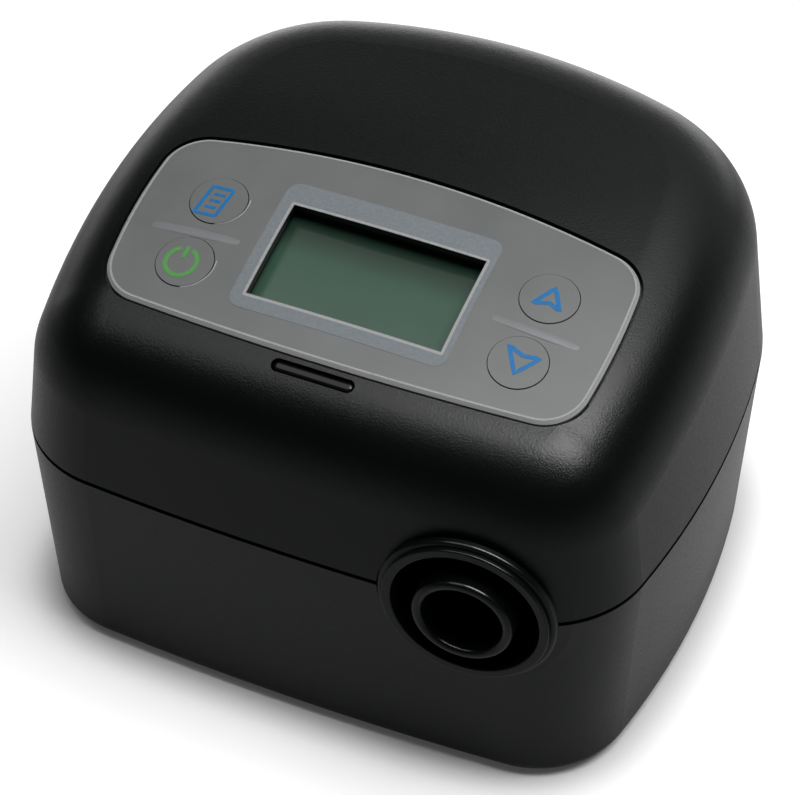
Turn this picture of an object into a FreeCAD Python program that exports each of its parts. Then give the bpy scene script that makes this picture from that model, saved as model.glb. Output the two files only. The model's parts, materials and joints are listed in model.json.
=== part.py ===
import FreeCAD, Part
import Sketcher
import math
import os
import re

# CPAP machine, millimetres, +Z up, +Y to the rear, the operator stands at -Y.
# The origin is on the table, under the middle of the overall width and depth.

HOUSING = {
    "width": 148.4,
    "depth": 134.5,
    "front_y": -65.95,
    "foot_height": 1.5,
    "seam_height": 52.8,
    "top_height": 102.2,
    "wall": 2.6,
    "side_radius": 205.0,
    "side_centre": -7.9,
    "front_radius": 717.0,
    "back_radius": 145.0,
    "front_corner": 24.5,
    "back_corner": 44.0,
    "upper_draft": 6.5,
    "lower_draft": 3.2,
    "top_round": 21.5,
    "cavity_bevel": 11.0,
    "base_round": 2.5,
    "crown_radius": 236.6,
    "crown_side_radius": 797.0,
    "crown_peak": 22.5,
    "seam_gap": 1.1,
    "lip_inset": 1.3,
    "lip_height": 3.0,
    "fit_gap": 0.15,
}
FASTENING = {
    "boss_front_x": 61.5,
    "boss_front_inset": 29.25,
    "boss_back_x": 52.0,
    "boss_back_inset": 23.25,
    "boss_radius": 4.6,
    "head_hole_radius": 3.5,
    "screw_head_radius": 3.1,
    "screw_head_height": 2.2,
    "screw_radius": 1.5,
    "screw_hole_radius": 1.55,
    "screw_length": 16.0,
    "screw_seat_drop": 8.0,
    "foot_radius": 7.0,
    "foot_front_x": 51.0,
    "foot_front_inset": 20.5,
    "foot_back_x": 43.0,
    "foot_back_inset": 24.0,
    "foot_recess": 0.9,
}
PANEL = {
    "panel_half_width": 55.0,
    "panel_setback": 19.1,
    "panel_depth": 50.5,
    "panel_back_radius": 258.0,
    "panel_front_radius": 495.0,
    "panel_side_radius": 138.0,
    "panel_corner": 9.8,
    "panel_thickness": 1.7,
    "panel_proud": 0.15,
    "panel_bevel": 0.5,
    "panel_gap": 0.7,
    "bed_margin": 3.0,
    "bed_thickness": 1.5,
    "window_setback": 22.1,
    "window_width": 44.0,
    "window_depth": 24.4,
    "window_gap": 0.3,
    "button_x": 37.8,
    "button_back_v": 8.0,
    "button_front_v": -9.05,
    "button_radius": 6.25,
    "button_gap": 0.2,
    "button_proud": 0.2,
    "button_travel": 0.8,
    "button_skirt": 0.9,
    "button_stem_radius": 2.4,
    "lens_x": -0.7,
    "lens_width": 18.2,
    "lens_height": 2.6,
    "lens_setback": 16.0,
    "lens_fall": 11.4,
    "lens_tilt": 21.0,
    "lens_drop": 0.4,
    "lens_gap": 0.25,
    "lens_round": 1.0,
    "lens_depth": 4.2,
    "lens_flange": 1.4,
}
DISPLAY = {
    "glass_drop": 4.6,
    "glass_width": 50.0,
    "glass_depth": 31.0,
    "glass_thickness": 2.8,
    "backlight_thickness": 2.6,
    "board_width": 96.0,
    "board_depth": 40.0,
    "board_thickness": 1.6,
    "switch_size": 6.2,
    "switch_height": 3.5,
    "plunger_radius": 1.75,
    "plunger_gap": 0.1,
    "plunger_stand": 0.9,
    "post_x": 44.5,
    "post_v": 17.0,
    "post_radius": 2.6,
}
OUTLET = {
    "port_x": 40.2,
    "port_turn": 4.0,
    "collar_radius": 19.5,
    "collar_proud": 1.6,
    "collar_face_radius": 18.3,
    "collar_recess_radius": 16.2,
    "collar_recess_depth": 16.0,
    "collar_step": 1.1,
    "collar_shoulder": 1.6,
    "collar_round": 0.7,
    "collar_plate": 2.0,
    "neck_radius": 17.8,
    "port_gap": 0.5,
    "seat_wall": 1.8,
    "seat_depth": 7.0,
    "collar_flange": 1.5,
    "flange_thickness": 2.0,
    "tube_radius": 11.0,
    "tube_root_radius": 11.3,
    "tube_bore_radius": 8.8,
    "tube_round": 1.0,
    "tube_proud": 3.8,
    "cuff_depth": 13.0,
    "spigot_radius": 10.8,
    "spigot_length": 12.0,
    "boot_wall": 1.6,
    "boot_bulge": 2.0,
}
BLOWER = {
    "blower_setback": 77.25,
    "volute_radius": 27.0,
    "volute_step": 5.0,
    "volute_wall": 1.8,
    "duct_half_height": 10.0,
    "case_plate": 2.0,
    "outlet_reach": 30.0,
    "case_spigot_length": 8.0,
    "eye_radius": 13.0,
    "bell_height": 5.0,
    "impeller_radius": 21.5,
    "impeller_gap": 1.6,
    "blade_count": 11,
    "blade_thickness": 1.1,
    "blade_root_radius": 11.5,
    "blade_radius": 15.0,
    "blade_sweep": 42.0,
    "hub_radius": 6.0,
    "shaft_radius": 2.0,
    "shaft_gap": 0.05,
    "bearing_radius": 6.0,
    "bearing_width": 4.0,
    "motor_radius": 17.5,
    "motor_height": 22.0,
    "motor_wall": 1.5,
    "stator_height": 8.0,
    "air_gap": 0.6,
    "magnet_radius": 9.6,
    "mount_ring_radius": 21.8,
    "mount_radius": 3.9,
    "mount_height": 6.0,
    "mount_post_radius": 3.6,
    "foam_radius": 27.0,
    "foam_height": 12.0,
}
REAR = {
    "filter_x": 14.0,
    "filter_clearance": 1.2,
    "filter_width": 54.0,
    "filter_height": 24.0,
    "filter_corner": 4.0,
    "cover_gap": 0.35,
    "cover_thickness": 2.2,
    "louvre_width": 44.0,
    "louvre_height": 2.0,
    "louvre_pitch": 3.8,
    "louvre_count": 5,
    "tray_wall": 1.6,
    "tray_depth": 20.0,
    "foam_thickness": 6.0,
    "grille_thickness": 1.6,
    "inlet_x": -33.0,
    "inlet_z": 21.0,
    "inlet_recess": 11.5,
    "inlet_width": 24.0,
    "inlet_height": 16.0,
    "inlet_depth": 18.0,
    "socket_pitch": 8.6,
    "socket_radius": 4.3,
    "socket_depth": 12.0,
    "pin_radius": 1.2,
    "pin_length": 9.0,
}
POWER = {
    "power_x": -46.0,
    "power_y": 2.3,
    "power_width": 36.0,
    "power_length": 66.0,
    "standoff": 4.5,
    "core_width": 24.0,
    "core_height": 20.0,
    "capacitor_radius": 6.0,
    "capacitor_height": 19.0,
    "capacitor_y": -9.2,
    "sink_y": 0.3,
    "sink_height": 20.0,
    "sink_fins": 6,
    "ribbon_width": 14.0,
    "ribbon_thickness": 0.4,
    "ribbon_y": -20.2,
    "vent_count": 6,
    "vent_pitch": 5.0,
    "vent_width": 2.2,
    "vent_length": 22.0,
}
SIZES = {}
for group in (HOUSING, FASTENING, PANEL, DISPLAY, OUTLET, BLOWER, REAR, POWER):
    SIZES.update(group)

# Places that several pieces share, written in the sheet's names.
FLOOR_Z = "(foot_height+wall)"
BACK_Y = "(front_y+depth)"
WINDOW_Y = "(front_y+panel_setback+window_setback)"
TILT = f"asin((crown_peak-{WINDOW_Y})/crown_radius)"
WINDOW_Z = f"(top_height-crown_radius+crown_radius*cos({TILT}))"
PORT_WALL_Y = "(front_y+front_radius-sqrt(front_radius^2-port_x^2))"
KNEE = "(collar_recess_depth+collar_plate+fit_gap+2)"
DUCT_X = f"(port_x-{KNEE}*sin(port_turn))"
BLOWER_X = f"({DUCT_X}-volute_radius-1.5*volute_step)"
BLOWER_Y = "(front_y+blower_setback)"
CASE_FLOOR = "(-duct_half_height-case_plate)"
BOARD_TOP = "(-glass_drop-glass_thickness-backlight_thickness)"
SHOULDER_BACK = "(collar_proud-collar_step-collar_shoulder)"
LENS_Z = "(top_height-lens_fall)"
FILTER_Z = f"(seam_height+{CASE_FLOOR}-filter_clearance-tray_wall-filter_height/2)"

X_AXIS = FreeCAD.Vector(1, 0, 0)
Z_AXIS = FreeCAD.Vector(0, 0, 1)
ORIGIN = ("0", "0", "0")

doc = FreeCAD.newDocument("CpapMachine")
sheet = doc.addObject("Spreadsheet::Sheet", "dims")
nodes = []


def fill_sheet():
    for row, (alias, value) in enumerate(SIZES.items(), 1):
        sheet.set(f"A{row}", alias)
        sheet.set(f"B{row}", str(value))
        sheet.setAlias(f"B{row}", alias)
    doc.recompute()


def bound(text):
    """Turns size names into references to the sheet."""
    return re.sub(r"[a-z][a-z_]*", lambda m: f"dims.{m[0]}" if m[0] in SIZES else m[0], text)


def value(text):
    result = sheet.evalExpression(bound(text))
    return float(getattr(result, "Value", result))


def bind(piece, **sizes):
    for name, text in sizes.items():
        piece.setExpression(name, bound(text))
    return piece


def place(piece, at):
    for axis, text in zip("xyz", at):
        piece.setExpression(f".Placement.Base.{axis}", bound(text))
    return piece


def place_on_panel(piece, across, up_slope, lift):
    """Places a piece in the frame that is tangent to the crown at the display window."""
    piece.Placement = FreeCAD.Placement(FreeCAD.Vector(), FreeCAD.Rotation(X_AXIS, 10))
    piece.setExpression(".Placement.Rotation.Angle", bound(TILT))
    y = f"{WINDOW_Y}+({up_slope})*cos({TILT})-({lift})*sin({TILT})"
    z = f"{WINDOW_Z}+({up_slope})*sin({TILT})+({lift})*cos({TILT})"
    return place(piece, (across, y, z))


def turn_outward(piece, at, turn="0"):
    """Points a piece's own Z axis towards -Y, turned about the vertical."""
    x, y, z = at
    stand = f"rotation(vector(0;0;1);{turn})*rotation(vector(1;0;0);90)"
    piece.setExpression("Placement", bound(f"placement(vector({x};{y};{z});{stand})"))
    return piece


def place_in_port(piece, inward="0"):
    """Places a piece on the outlet's axis, which is square to the front wall where it leaves it."""
    x = f"port_x-({inward})*sin(port_turn)"
    y = f"{PORT_WALL_Y}+({inward})*cos(port_turn)"
    return turn_outward(piece, (x, y, "seam_height"), "port_turn")


def node(piece, label):
    piece.Label = label
    nodes.append(piece)
    return piece


# ---- sketches -------------------------------------------------------------------------------

def new_body(name):
    return doc.addObject("PartDesign::Body", name)


def new_sketch(body, name, plane="XY_Plane", lift="0"):
    sketch = body.newObject("Sketcher::SketchObject", name)
    origin_plane = next(f for f in body.Origin.OriginFeatures if f.Role == plane)
    sketch.AttachmentSupport = (origin_plane, "")
    sketch.MapMode = "FlatFace"
    sketch.setExpression(".AttachmentOffset.Base.z", bound(lift))
    return sketch


def drive(sketch, kind, refs, text):
    index = sketch.addConstraint(Sketcher.Constraint(kind, *refs, value(text)))
    sketch.setExpression(f"Constraints[{index}]", bound(text))


def pin_point(sketch, geometry, end, x, y):
    drive(sketch, "DistanceX", (-1, 1, geometry, end), x)
    drive(sketch, "DistanceY", (-1, 1, geometry, end), y)


def draw_loop(sketch, points):
    """Closed loop of straight lines through points given as pairs of expressions."""
    first = sketch.GeometryCount
    count = len(points)
    corners = [FreeCAD.Vector(value(x), value(y), 0) for x, y in points]
    for i in range(count):
        sketch.addGeometry(Part.LineSegment(corners[i], corners[(i + 1) % count]), False)
    for i in range(count):
        sketch.addConstraint(Sketcher.Constraint("Coincident", first + i, 2, first + (i + 1) % count, 1))
    for i, (x, y) in enumerate(points):
        pin_point(sketch, first + i, 1, x, y)


def draw_circle(sketch, x, y, radius):
    centre = FreeCAD.Vector(value(x), value(y), 0)
    index = sketch.addGeometry(Part.Circle(centre, Z_AXIS, value(radius)), False)
    drive(sketch, "Radius", (index,), radius)
    pin_point(sketch, index, 3, x, y)


def draw_rounded_box(sketch, x, y, width, height, radius):
    """Rectangle with tangent corner arcs, centred on x, y."""
    first = sketch.GeometryCount
    cx, cy, w, h, r = (value(text) for text in (x, y, width, height, radius))
    turns = ((1, -1), (1, 1), (-1, 1), (-1, -1))
    for i, (sx, sy) in enumerate(turns):
        centre = FreeCAD.Vector(cx + sx * (w / 2 - r), cy + sy * (h / 2 - r), 0)
        start = math.pi / 2 * (i - 1)
        circle = Part.Circle(centre, Z_AXIS, r)
        sketch.addGeometry(Part.ArcOfCircle(circle, start, start + math.pi / 2), False)
    for i in range(4):
        begin = sketch.Geometry[first + i].EndPoint
        end = sketch.Geometry[first + (i + 1) % 4].StartPoint
        sketch.addGeometry(Part.LineSegment(begin, end), False)
    for i in range(4):
        line = first + 4 + i
        sketch.addConstraint(Sketcher.Constraint("Tangent", first + i, 2, line, 1))
        sketch.addConstraint(Sketcher.Constraint("Tangent", line, 2, first + (i + 1) % 4, 1))
    for i, (sx, sy) in enumerate(turns):
        drive(sketch, "Radius", (first + i,), radius)
        across = f"({x})+({sx})*(({width})/2-({radius}))"
        along = f"({y})+({sy})*(({height})/2-({radius}))"
        pin_point(sketch, first + i, 3, across, along)


def corner_centre(c1, r1, c2, r2, side):
    """Where circles of r1 about c1 and r2 about c2 meet, on the given side."""
    gap = c2 - c1
    along = (gap.Length ** 2 + r1 ** 2 - r2 ** 2) / (2 * gap.Length)
    off = math.sqrt(r1 ** 2 - along ** 2)
    unit = gap / gap.Length
    normal = FreeCAD.Vector(-unit.y, unit.x, 0)
    meets = (c1 + unit * along + normal * off, c1 + unit * along - normal * off)
    return max(meets, key=lambda point: point.dot(side))


def draw_bowed_outline(sketch, size):
    """Bowed rectangle: four large arcs joined by four tangent corner arcs, symmetric about Y."""
    at = {name: value(text) for name, text in size.items()}
    vector = FreeCAD.Vector
    front = vector(0, at["front"] + at["front_radius"], 0)
    back = vector(0, at["back"] - at["back_radius"], 0)
    right = vector(at["half"] - at["side_radius"], at["side_y"], 0)
    k1 = corner_centre(front, at["front_radius"] - at["front_corner"],
                       right, at["side_radius"] - at["front_corner"], vector(1, -1, 0))
    k2 = corner_centre(back, at["back_radius"] - at["back_corner"],
                       right, at["side_radius"] - at["back_corner"], vector(1, 1, 0))
    angles = [math.atan2(k1.y - front.y, k1.x - front.x), math.atan2(k1.y - right.y, k1.x - right.x),
              math.atan2(k2.y - right.y, k2.x - right.x), math.atan2(k2.y - back.y, k2.x - back.x)]
    mirrored = [math.pi - a for a in reversed(angles)]
    stops = [-math.pi - angles[0]] + angles + mirrored
    centres = [front, k1, right, k2, back, vector(-k2.x, k2.y, 0), vector(-right.x, right.y, 0),
               vector(-k1.x, k1.y, 0)]
    radii = ["front_radius", "front_corner", "side_radius", "back_corner"]
    radii += ["back_radius", "back_corner", "side_radius", "front_corner"]
    for i, centre in enumerate(centres):
        circle = Part.Circle(centre, Z_AXIS, at[radii[i]])
        sketch.addGeometry(Part.ArcOfCircle(circle, stops[i], stops[i + 1]), False)
    for i in range(8):
        sketch.addConstraint(Sketcher.Constraint("Tangent", i, 2, (i + 1) % 8, 1))
    for i, name in enumerate(radii):
        drive(sketch, "Radius", (i,), size[name])
    pin_point(sketch, 0, 3, "0", f"({size['front']})+({size['front_radius']})")
    pin_point(sketch, 4, 3, "0", f"({size['back']})-({size['back_radius']})")
    pin_point(sketch, 2, 3, f"({size['half']})-({size['side_radius']})", size["side_y"])
    pin_point(sketch, 6, 3, f"({size['side_radius']})-({size['half']})", size["side_y"])


def housing_outline(inset):
    size = {"half": f"width/2-({inset})", "front": f"front_y+({inset})", "back": f"{BACK_Y}-({inset})"}
    size["side_y"] = "side_centre"
    for name in ("side_radius", "front_radius", "back_radius", "front_corner", "back_corner"):
        size[name] = f"{name}-({inset})"
    return size


def panel_outline(grow):
    return {
        "half": f"panel_half_width+({grow})",
        "front": f"front_y+panel_setback-({grow})",
        "back": f"front_y+panel_setback+panel_depth+({grow})",
        "side_y": "front_y+panel_setback+panel_depth/2",
        "side_radius": f"panel_side_radius+({grow})",
        "front_radius": f"panel_front_radius+({grow})",
        "back_radius": f"panel_back_radius+({grow})",
        "front_corner": f"panel_corner+({grow})",
        "back_corner": f"panel_corner+({grow})",
    }


# ---- features -------------------------------------------------------------------------------

def pad(body, sketch, length, reverse=False, taper=None):
    feature = body.newObject("PartDesign::Pad", f"{sketch.Name}_pad")
    feature.Profile = sketch
    feature.Reversed = reverse
    bind(feature, Length=length)
    if taper:
        bind(feature, TaperAngle=f"-({taper})")
    sketch.Visibility = False
    doc.recompute()
    return feature


def pocket(body, sketch, length, reverse=False):
    """Pocket that must take material away."""
    before = body.Shape.Volume
    feature = body.newObject("PartDesign::Pocket", f"{sketch.Name}_pocket")
    feature.Profile = sketch
    feature.Reversed = reverse
    bind(feature, Length=length)
    doc.recompute()
    if not body.Shape.Volume < before:
        raise RuntimeError(f"{feature.Name} removes nothing")
    return feature


def revolve(body, sketch, axis="V_Axis"):
    feature = body.newObject("PartDesign::Revolution", f"{sketch.Name}_turn")
    feature.Profile = sketch
    feature.ReferenceAxis = (sketch, [axis])
    feature.Angle = 360
    doc.recompute()
    return feature


def turned(name, profile):
    """Body of revolution about its own Z axis; the profile is in radius, height pairs."""
    body = new_body(name)
    sketch = new_sketch(body, f"{name}_profile", "XZ_Plane")
    draw_loop(sketch, profile)
    revolve(body, sketch)
    return body


def rim_edges(shape, rims):
    """Names of the circular edges with the given radius and height."""
    names = []
    for radius, height in rims:
        for i, edge in enumerate(shape.Edges, 1):
            if not isinstance(edge.Curve, Part.Circle):
                continue
            if abs(edge.Curve.Radius - value(radius)) < 1e-3 and abs(edge.Curve.Center.z - value(height)) < 1e-3:
                names.append(f"Edge{i}")
    return names


def round_rims(body, rims, radius):
    base = body.Tip
    feature = body.newObject("PartDesign::Fillet", f"{body.Name}_round")
    feature.Base = (base, rim_edges(base.Shape, rims))
    bind(feature, Radius=radius)
    doc.recompute()
    return feature


def face_names(shape, pick):
    return [f"Face{i}" for i, face in enumerate(shape.Faces, 1) if pick(face)]


def highest_face(shape):
    top = max(face.CenterOfMass.z for face in shape.Faces)
    return face_names(shape, lambda face: face.CenterOfMass.z > top - 1e-6)


def lowest_face(shape):
    bottom = min(face.CenterOfMass.z for face in shape.Faces)
    return face_names(shape, lambda face: face.CenterOfMass.z < bottom + 1e-6)


def round_face(body, faces, radius):
    base = body.Tip
    feature = body.newObject("PartDesign::Fillet", f"{body.Name}_edge")
    feature.Base = (base, faces)
    bind(feature, Radius=radius)
    doc.recompute()
    return feature


def bevel_face(body, faces, size):
    base = body.Tip
    feature = body.newObject("PartDesign::Chamfer", f"{body.Name}_bevel")
    feature.Base = (base, faces)
    bind(feature, Size=size)
    doc.recompute()
    return feature


def crown_trim(body, offset, side):
    """Cuts the body on one side of the crown, which falls to the front and bows across."""
    before = body.Shape.Volume
    sketch = new_sketch(body, f"{body.Name}_crown_{side}", "YZ_Plane")
    radius = f"crown_radius+({offset})"
    near_y, far_y = "(front_y-10)", f"({BACK_Y}+10)"
    limit = "top_height+15" if side == "above" else "seam_height-15"
    r = value(radius)
    peak = value("crown_peak")
    centre = FreeCAD.Vector(peak, value("top_height-crown_radius"), 0)
    finish = math.acos((value(near_y) - peak) / r)
    arc = Part.ArcOfCircle(Part.Circle(centre, Z_AXIS, r), math.pi / 2, finish)
    corners = [arc.EndPoint]
    corners.append(FreeCAD.Vector(value(near_y), value(limit), 0))
    corners.append(FreeCAD.Vector(value(far_y), value(limit), 0))
    corners.append(FreeCAD.Vector(value(far_y), arc.StartPoint.y, 0))
    corners.append(arc.StartPoint)
    sketch.addGeometry(arc, False)
    for i in range(4):
        sketch.addGeometry(Part.LineSegment(corners[i], corners[i + 1]), False)
    for i in range(4):
        sketch.addConstraint(Sketcher.Constraint("Coincident", i, 2, i + 1, 1))
    sketch.addConstraint(Sketcher.Constraint("Tangent", 4, 2, 0, 1))
    drive(sketch, "Radius", (0,), radius)
    pin_point(sketch, 0, 3, "crown_peak", "top_height-crown_radius")
    pin_point(sketch, 2, 1, near_y, limit)
    pin_point(sketch, 2, 2, far_y, limit)
    sketch.addConstraint(Sketcher.Constraint("Vertical", 1))
    sketch.addConstraint(Sketcher.Constraint("Vertical", 3))
    sketch.addConstraint(Sketcher.Constraint("Horizontal", 4))
    height = value("top_height-crown_side_radius")
    axis = Part.LineSegment(FreeCAD.Vector(-50, height, 0), FreeCAD.Vector(50, height, 0))
    axis_index = sketch.addGeometry(axis, True)
    pin_point(sketch, axis_index, 1, "-50", "top_height-crown_side_radius")
    pin_point(sketch, axis_index, 2, "50", "top_height-crown_side_radius")
    groove = body.newObject("PartDesign::Groove", f"{body.Name}_trim_{side}")
    groove.Profile = sketch
    groove.ReferenceAxis = (sketch, ["Axis0"])
    groove.Midplane = True
    bind(groove, Angle="2*asin((width/2+6)/(crown_side_radius-70))")
    doc.recompute()
    if not body.Shape.Volume < before:
        raise RuntimeError(f"{groove.Name} removes nothing")
    return groove


def crown_edges(shape):
    """Names of the edges between the crown's faces and the walls."""
    def faces_up(face):
        u, v = face.Surface.parameter(face.CenterOfMass)
        return face.normalAt(u, v).z > 0.7
    crown = [face for face in shape.Faces if faces_up(face)]
    names = []
    for i, edge in enumerate(shape.Edges, 1):
        if sum(any(edge.isSame(other) for other in face.Edges) for face in crown) == 1:
            names.append(f"Edge{i}")
    return names


# ---- solids made from primitives --------------------------------------------------------------

def box(name, size, at):
    """Box centred on at in X and Y, standing on at in Z."""
    piece = doc.addObject("Part::Box", name)
    bind(piece, Length=size[0], Width=size[1], Height=size[2])
    return place(piece, (f"({at[0]})-({size[0]})/2", f"({at[1]})-({size[1]})/2", at[2]))


def cylinder(name, radius, height, at=ORIGIN):
    piece = doc.addObject("Part::Cylinder", name)
    bind(piece, Radius=radius, Height=height)
    return place(piece, at)


def fuse(name, pieces):
    result = doc.addObject("Part::MultiFuse", name)
    result.Shapes = pieces
    result.Refine = True
    doc.recompute()
    return result


def cut(name, base, tool):
    result = doc.addObject("Part::Cut", name)
    result.Base = base
    result.Tool = tool
    result.Refine = True
    doc.recompute()
    return result


def common(name, base, tool):
    result = doc.addObject("Part::Common", name)
    result.Base = base
    result.Tool = tool
    result.Refine = True
    doc.recompute()
    return result


def grouped(name, pieces):
    """Separate solids of one kind, kept in one node."""
    result = doc.addObject("Part::Compound", name)
    result.Links = pieces
    doc.recompute()
    return result


def prism(name, draw, length, plane="XY_Plane", lift="0", reverse=False):
    body = new_body(name)
    sketch = new_sketch(body, f"{name}_sketch", plane, lift)
    draw(sketch)
    pad(body, sketch, length, reverse)
    return body


# ---- housing ----------------------------------------------------------------------------------

def upper_block(name, inset):
    """Drafted and crowned form of the upper half, with its top edge still sharp."""
    body = new_body(name)
    sketch = new_sketch(body, f"{name}_outline", lift="seam_height")
    draw_bowed_outline(sketch, housing_outline(inset))
    pad(body, sketch, "top_height-seam_height+5", taper="upper_draft")
    crown_trim(body, f"-({inset})", "above")
    return body


def lower_form(name, inset, floor):
    """Drafted form of the lower half, from the seam down to the given floor."""
    body = new_body(name)
    sketch = new_sketch(body, f"{name}_outline", lift="seam_height")
    draw_bowed_outline(sketch, housing_outline(inset))
    pad(body, sketch, f"seam_height-({floor})", reverse=True, taper="lower_draft")
    return body


def outline_slab(name, inset, bottom, height):
    draw = lambda sketch: draw_bowed_outline(sketch, housing_outline(inset))
    return prism(name, draw, height, lift=bottom)


def boss_places():
    front = "front_y+boss_front_inset"
    back = f"{BACK_Y}-boss_back_inset"
    places = [("-boss_front_x", front), ("boss_front_x", front)]
    return places + [("-boss_back_x", back), ("boss_back_x", back)]


def mount_places():
    """Centres of the blower's rubber mounts, on a ring about the blower's axis."""
    places = []
    for angle in (90, 200, 320):
        x = f"{BLOWER_X}+mount_ring_radius*cos({angle})"
        y = f"{BLOWER_Y}+mount_ring_radius*sin({angle})"
        places.append((x, y))
    return places


def port_solid(name, radius, outward, inward):
    """Cylinder on the port's axis, from inward behind the front wall to outward in front of it."""
    piece = doc.addObject("Part::Cylinder", name)
    bind(piece, Radius=radius, Height=f"({outward})+({inward})")
    return place_in_port(piece, inward)


def port_hole(name):
    """The port's round hole, sunk for the collar's shoulder and wider where its flange lies."""
    throat = port_solid(f"{name}_throat", "neck_radius+fit_gap", "10", "seat_depth+1")
    sink = port_solid(f"{name}_sink", "collar_radius+port_gap", "10", f"fit_gap-{SHOULDER_BACK}")
    clear = port_solid(f"{name}_clear", "neck_radius+collar_flange+2*fit_gap", "-seat_depth",
                       "seat_depth+flange_thickness+12")
    return fuse(name, [throat, sink, clear])


def button_places():
    for name, x, v in (("menu", "-button_x", "button_back_v"), ("power", "-button_x", "button_front_v"),
                       ("up", "button_x", "button_back_v"), ("down", "button_x", "button_front_v")):
        yield name, x, v


def post_places():
    return [(f"{sx}*post_x", f"{sv}*post_v") for sx in (-1, 1) for sv in (-1, 1)]


def lens_prism(name, grow, top, bottom):
    """Pill-shaped prism square to the rounded edge in front of the panel."""
    body = new_body(name)
    sketch = new_sketch(body, f"{name}_pill", lift=bottom)
    width = f"lens_width+2*({grow})"
    height = f"lens_height+2*({grow})"
    draw_rounded_box(sketch, "0", "0", width, height, f"({height})/2-0.01")
    pad(body, sketch, f"({top})-({bottom})")
    body.Placement = FreeCAD.Placement(FreeCAD.Vector(), FreeCAD.Rotation(X_AXIS, 30))
    body.setExpression(".Placement.Rotation.Angle", bound("lens_tilt"))
    return place(body, ("lens_x", "front_y+lens_setback", LENS_Z))


def upper_housing(outer):
    inner = upper_block("upper_inner", "wall")
    bevel_face(inner, crown_edges(inner.Shape), "cavity_bevel")
    shell = cut("upper_shell", outer, inner)
    bosses = []
    for i, (x, y) in enumerate(boss_places()):
        bosses.append(cylinder(f"upper_boss_{i}", "boss_radius", "top_height-seam_height",
                               (x, y, "seam_height+seam_gap/2")))
    seat = port_solid("upper_seat", "collar_radius+port_gap+seat_wall", "0", "seat_depth")
    bed = prism("panel_bed", lambda s: draw_bowed_outline(s, panel_outline("bed_margin")),
                "top_height-seam_height", lift="seam_height+15")
    crown_trim(bed, "-wall/2", "above")
    crown_trim(bed, "-panel_thickness+panel_proud-bed_thickness", "below")
    posts = []
    for i, (x, v) in enumerate(post_places()):
        post = cylinder(f"board_post_{i}", "post_radius", f"-{BOARD_TOP}-wall/2")
        posts.append(place_on_panel(post, x, v, BOARD_TOP))
    lens_pad = lens_prism("lens_pad", "2.4", "-0.5", "-lens_depth")
    solids = fuse("upper_ribs", bosses + [seat, bed, lens_pad] + posts)
    inside = common("upper_ribs_inside", solids, outer)
    walls = fuse("upper_walls", [shell, inside])
    tools = [outline_slab("seam_relief_upper", "-5", "seam_height-1", "1+seam_gap/2")]
    tools.append(outline_slab("lip_relief", "lip_inset-fit_gap", "seam_height-1", "lip_height+1+fit_gap"))
    keep_bosses = [cylinder(f"upper_boss_keep_{i}", "boss_radius", "20", (x, y, "seam_height+seam_gap/2"))
                   for i, (x, y) in enumerate(boss_places())]
    tools[1] = cut("lip_relief_clear", tools[1], fuse("boss_keep", keep_bosses))
    tools += [cylinder(f"upper_screw_hole_{i}", "screw_hole_radius", "screw_length+2",
                       (x, y, "seam_height-screw_seat_drop")) for i, (x, y) in enumerate(boss_places())]
    tools.append(port_hole("upper_port"))
    recess = prism("panel_recess", lambda s: draw_bowed_outline(s, panel_outline("panel_gap")),
                   "top_height-seam_height", lift="seam_height+15")
    crown_trim(recess, "-panel_thickness+panel_proud-0.05", "below")
    tools.append(recess)
    window = box("bed_window", ("window_width+2*window_gap", "window_depth+2*window_gap", "12"), ORIGIN)
    tools.append(place_on_panel(window, "-window_width/2-window_gap", "-window_depth/2-window_gap", "-8"))
    for name, x, v in button_places():
        hole = cylinder(f"{name}_bed_hole", "button_radius+button_skirt+button_gap", "12")
        tools.append(place_on_panel(hole, x, v, "-8"))
    for i, (x, v) in enumerate(post_places()):
        hole = cylinder(f"post_hole_{i}", "1.0", "6")
        tools.append(place_on_panel(hole, x, v, f"{BOARD_TOP}-1"))
    tools.append(lens_prism("lens_hole", "lens_gap", "8", "-8"))
    tools.append(lens_prism("lens_flange_room", "lens_flange+lens_gap", "-lens_depth", "-lens_depth-6"))
    return node(cut("upper_result", walls, fuse("upper_cuts", tools)), "upper_housing")


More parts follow.
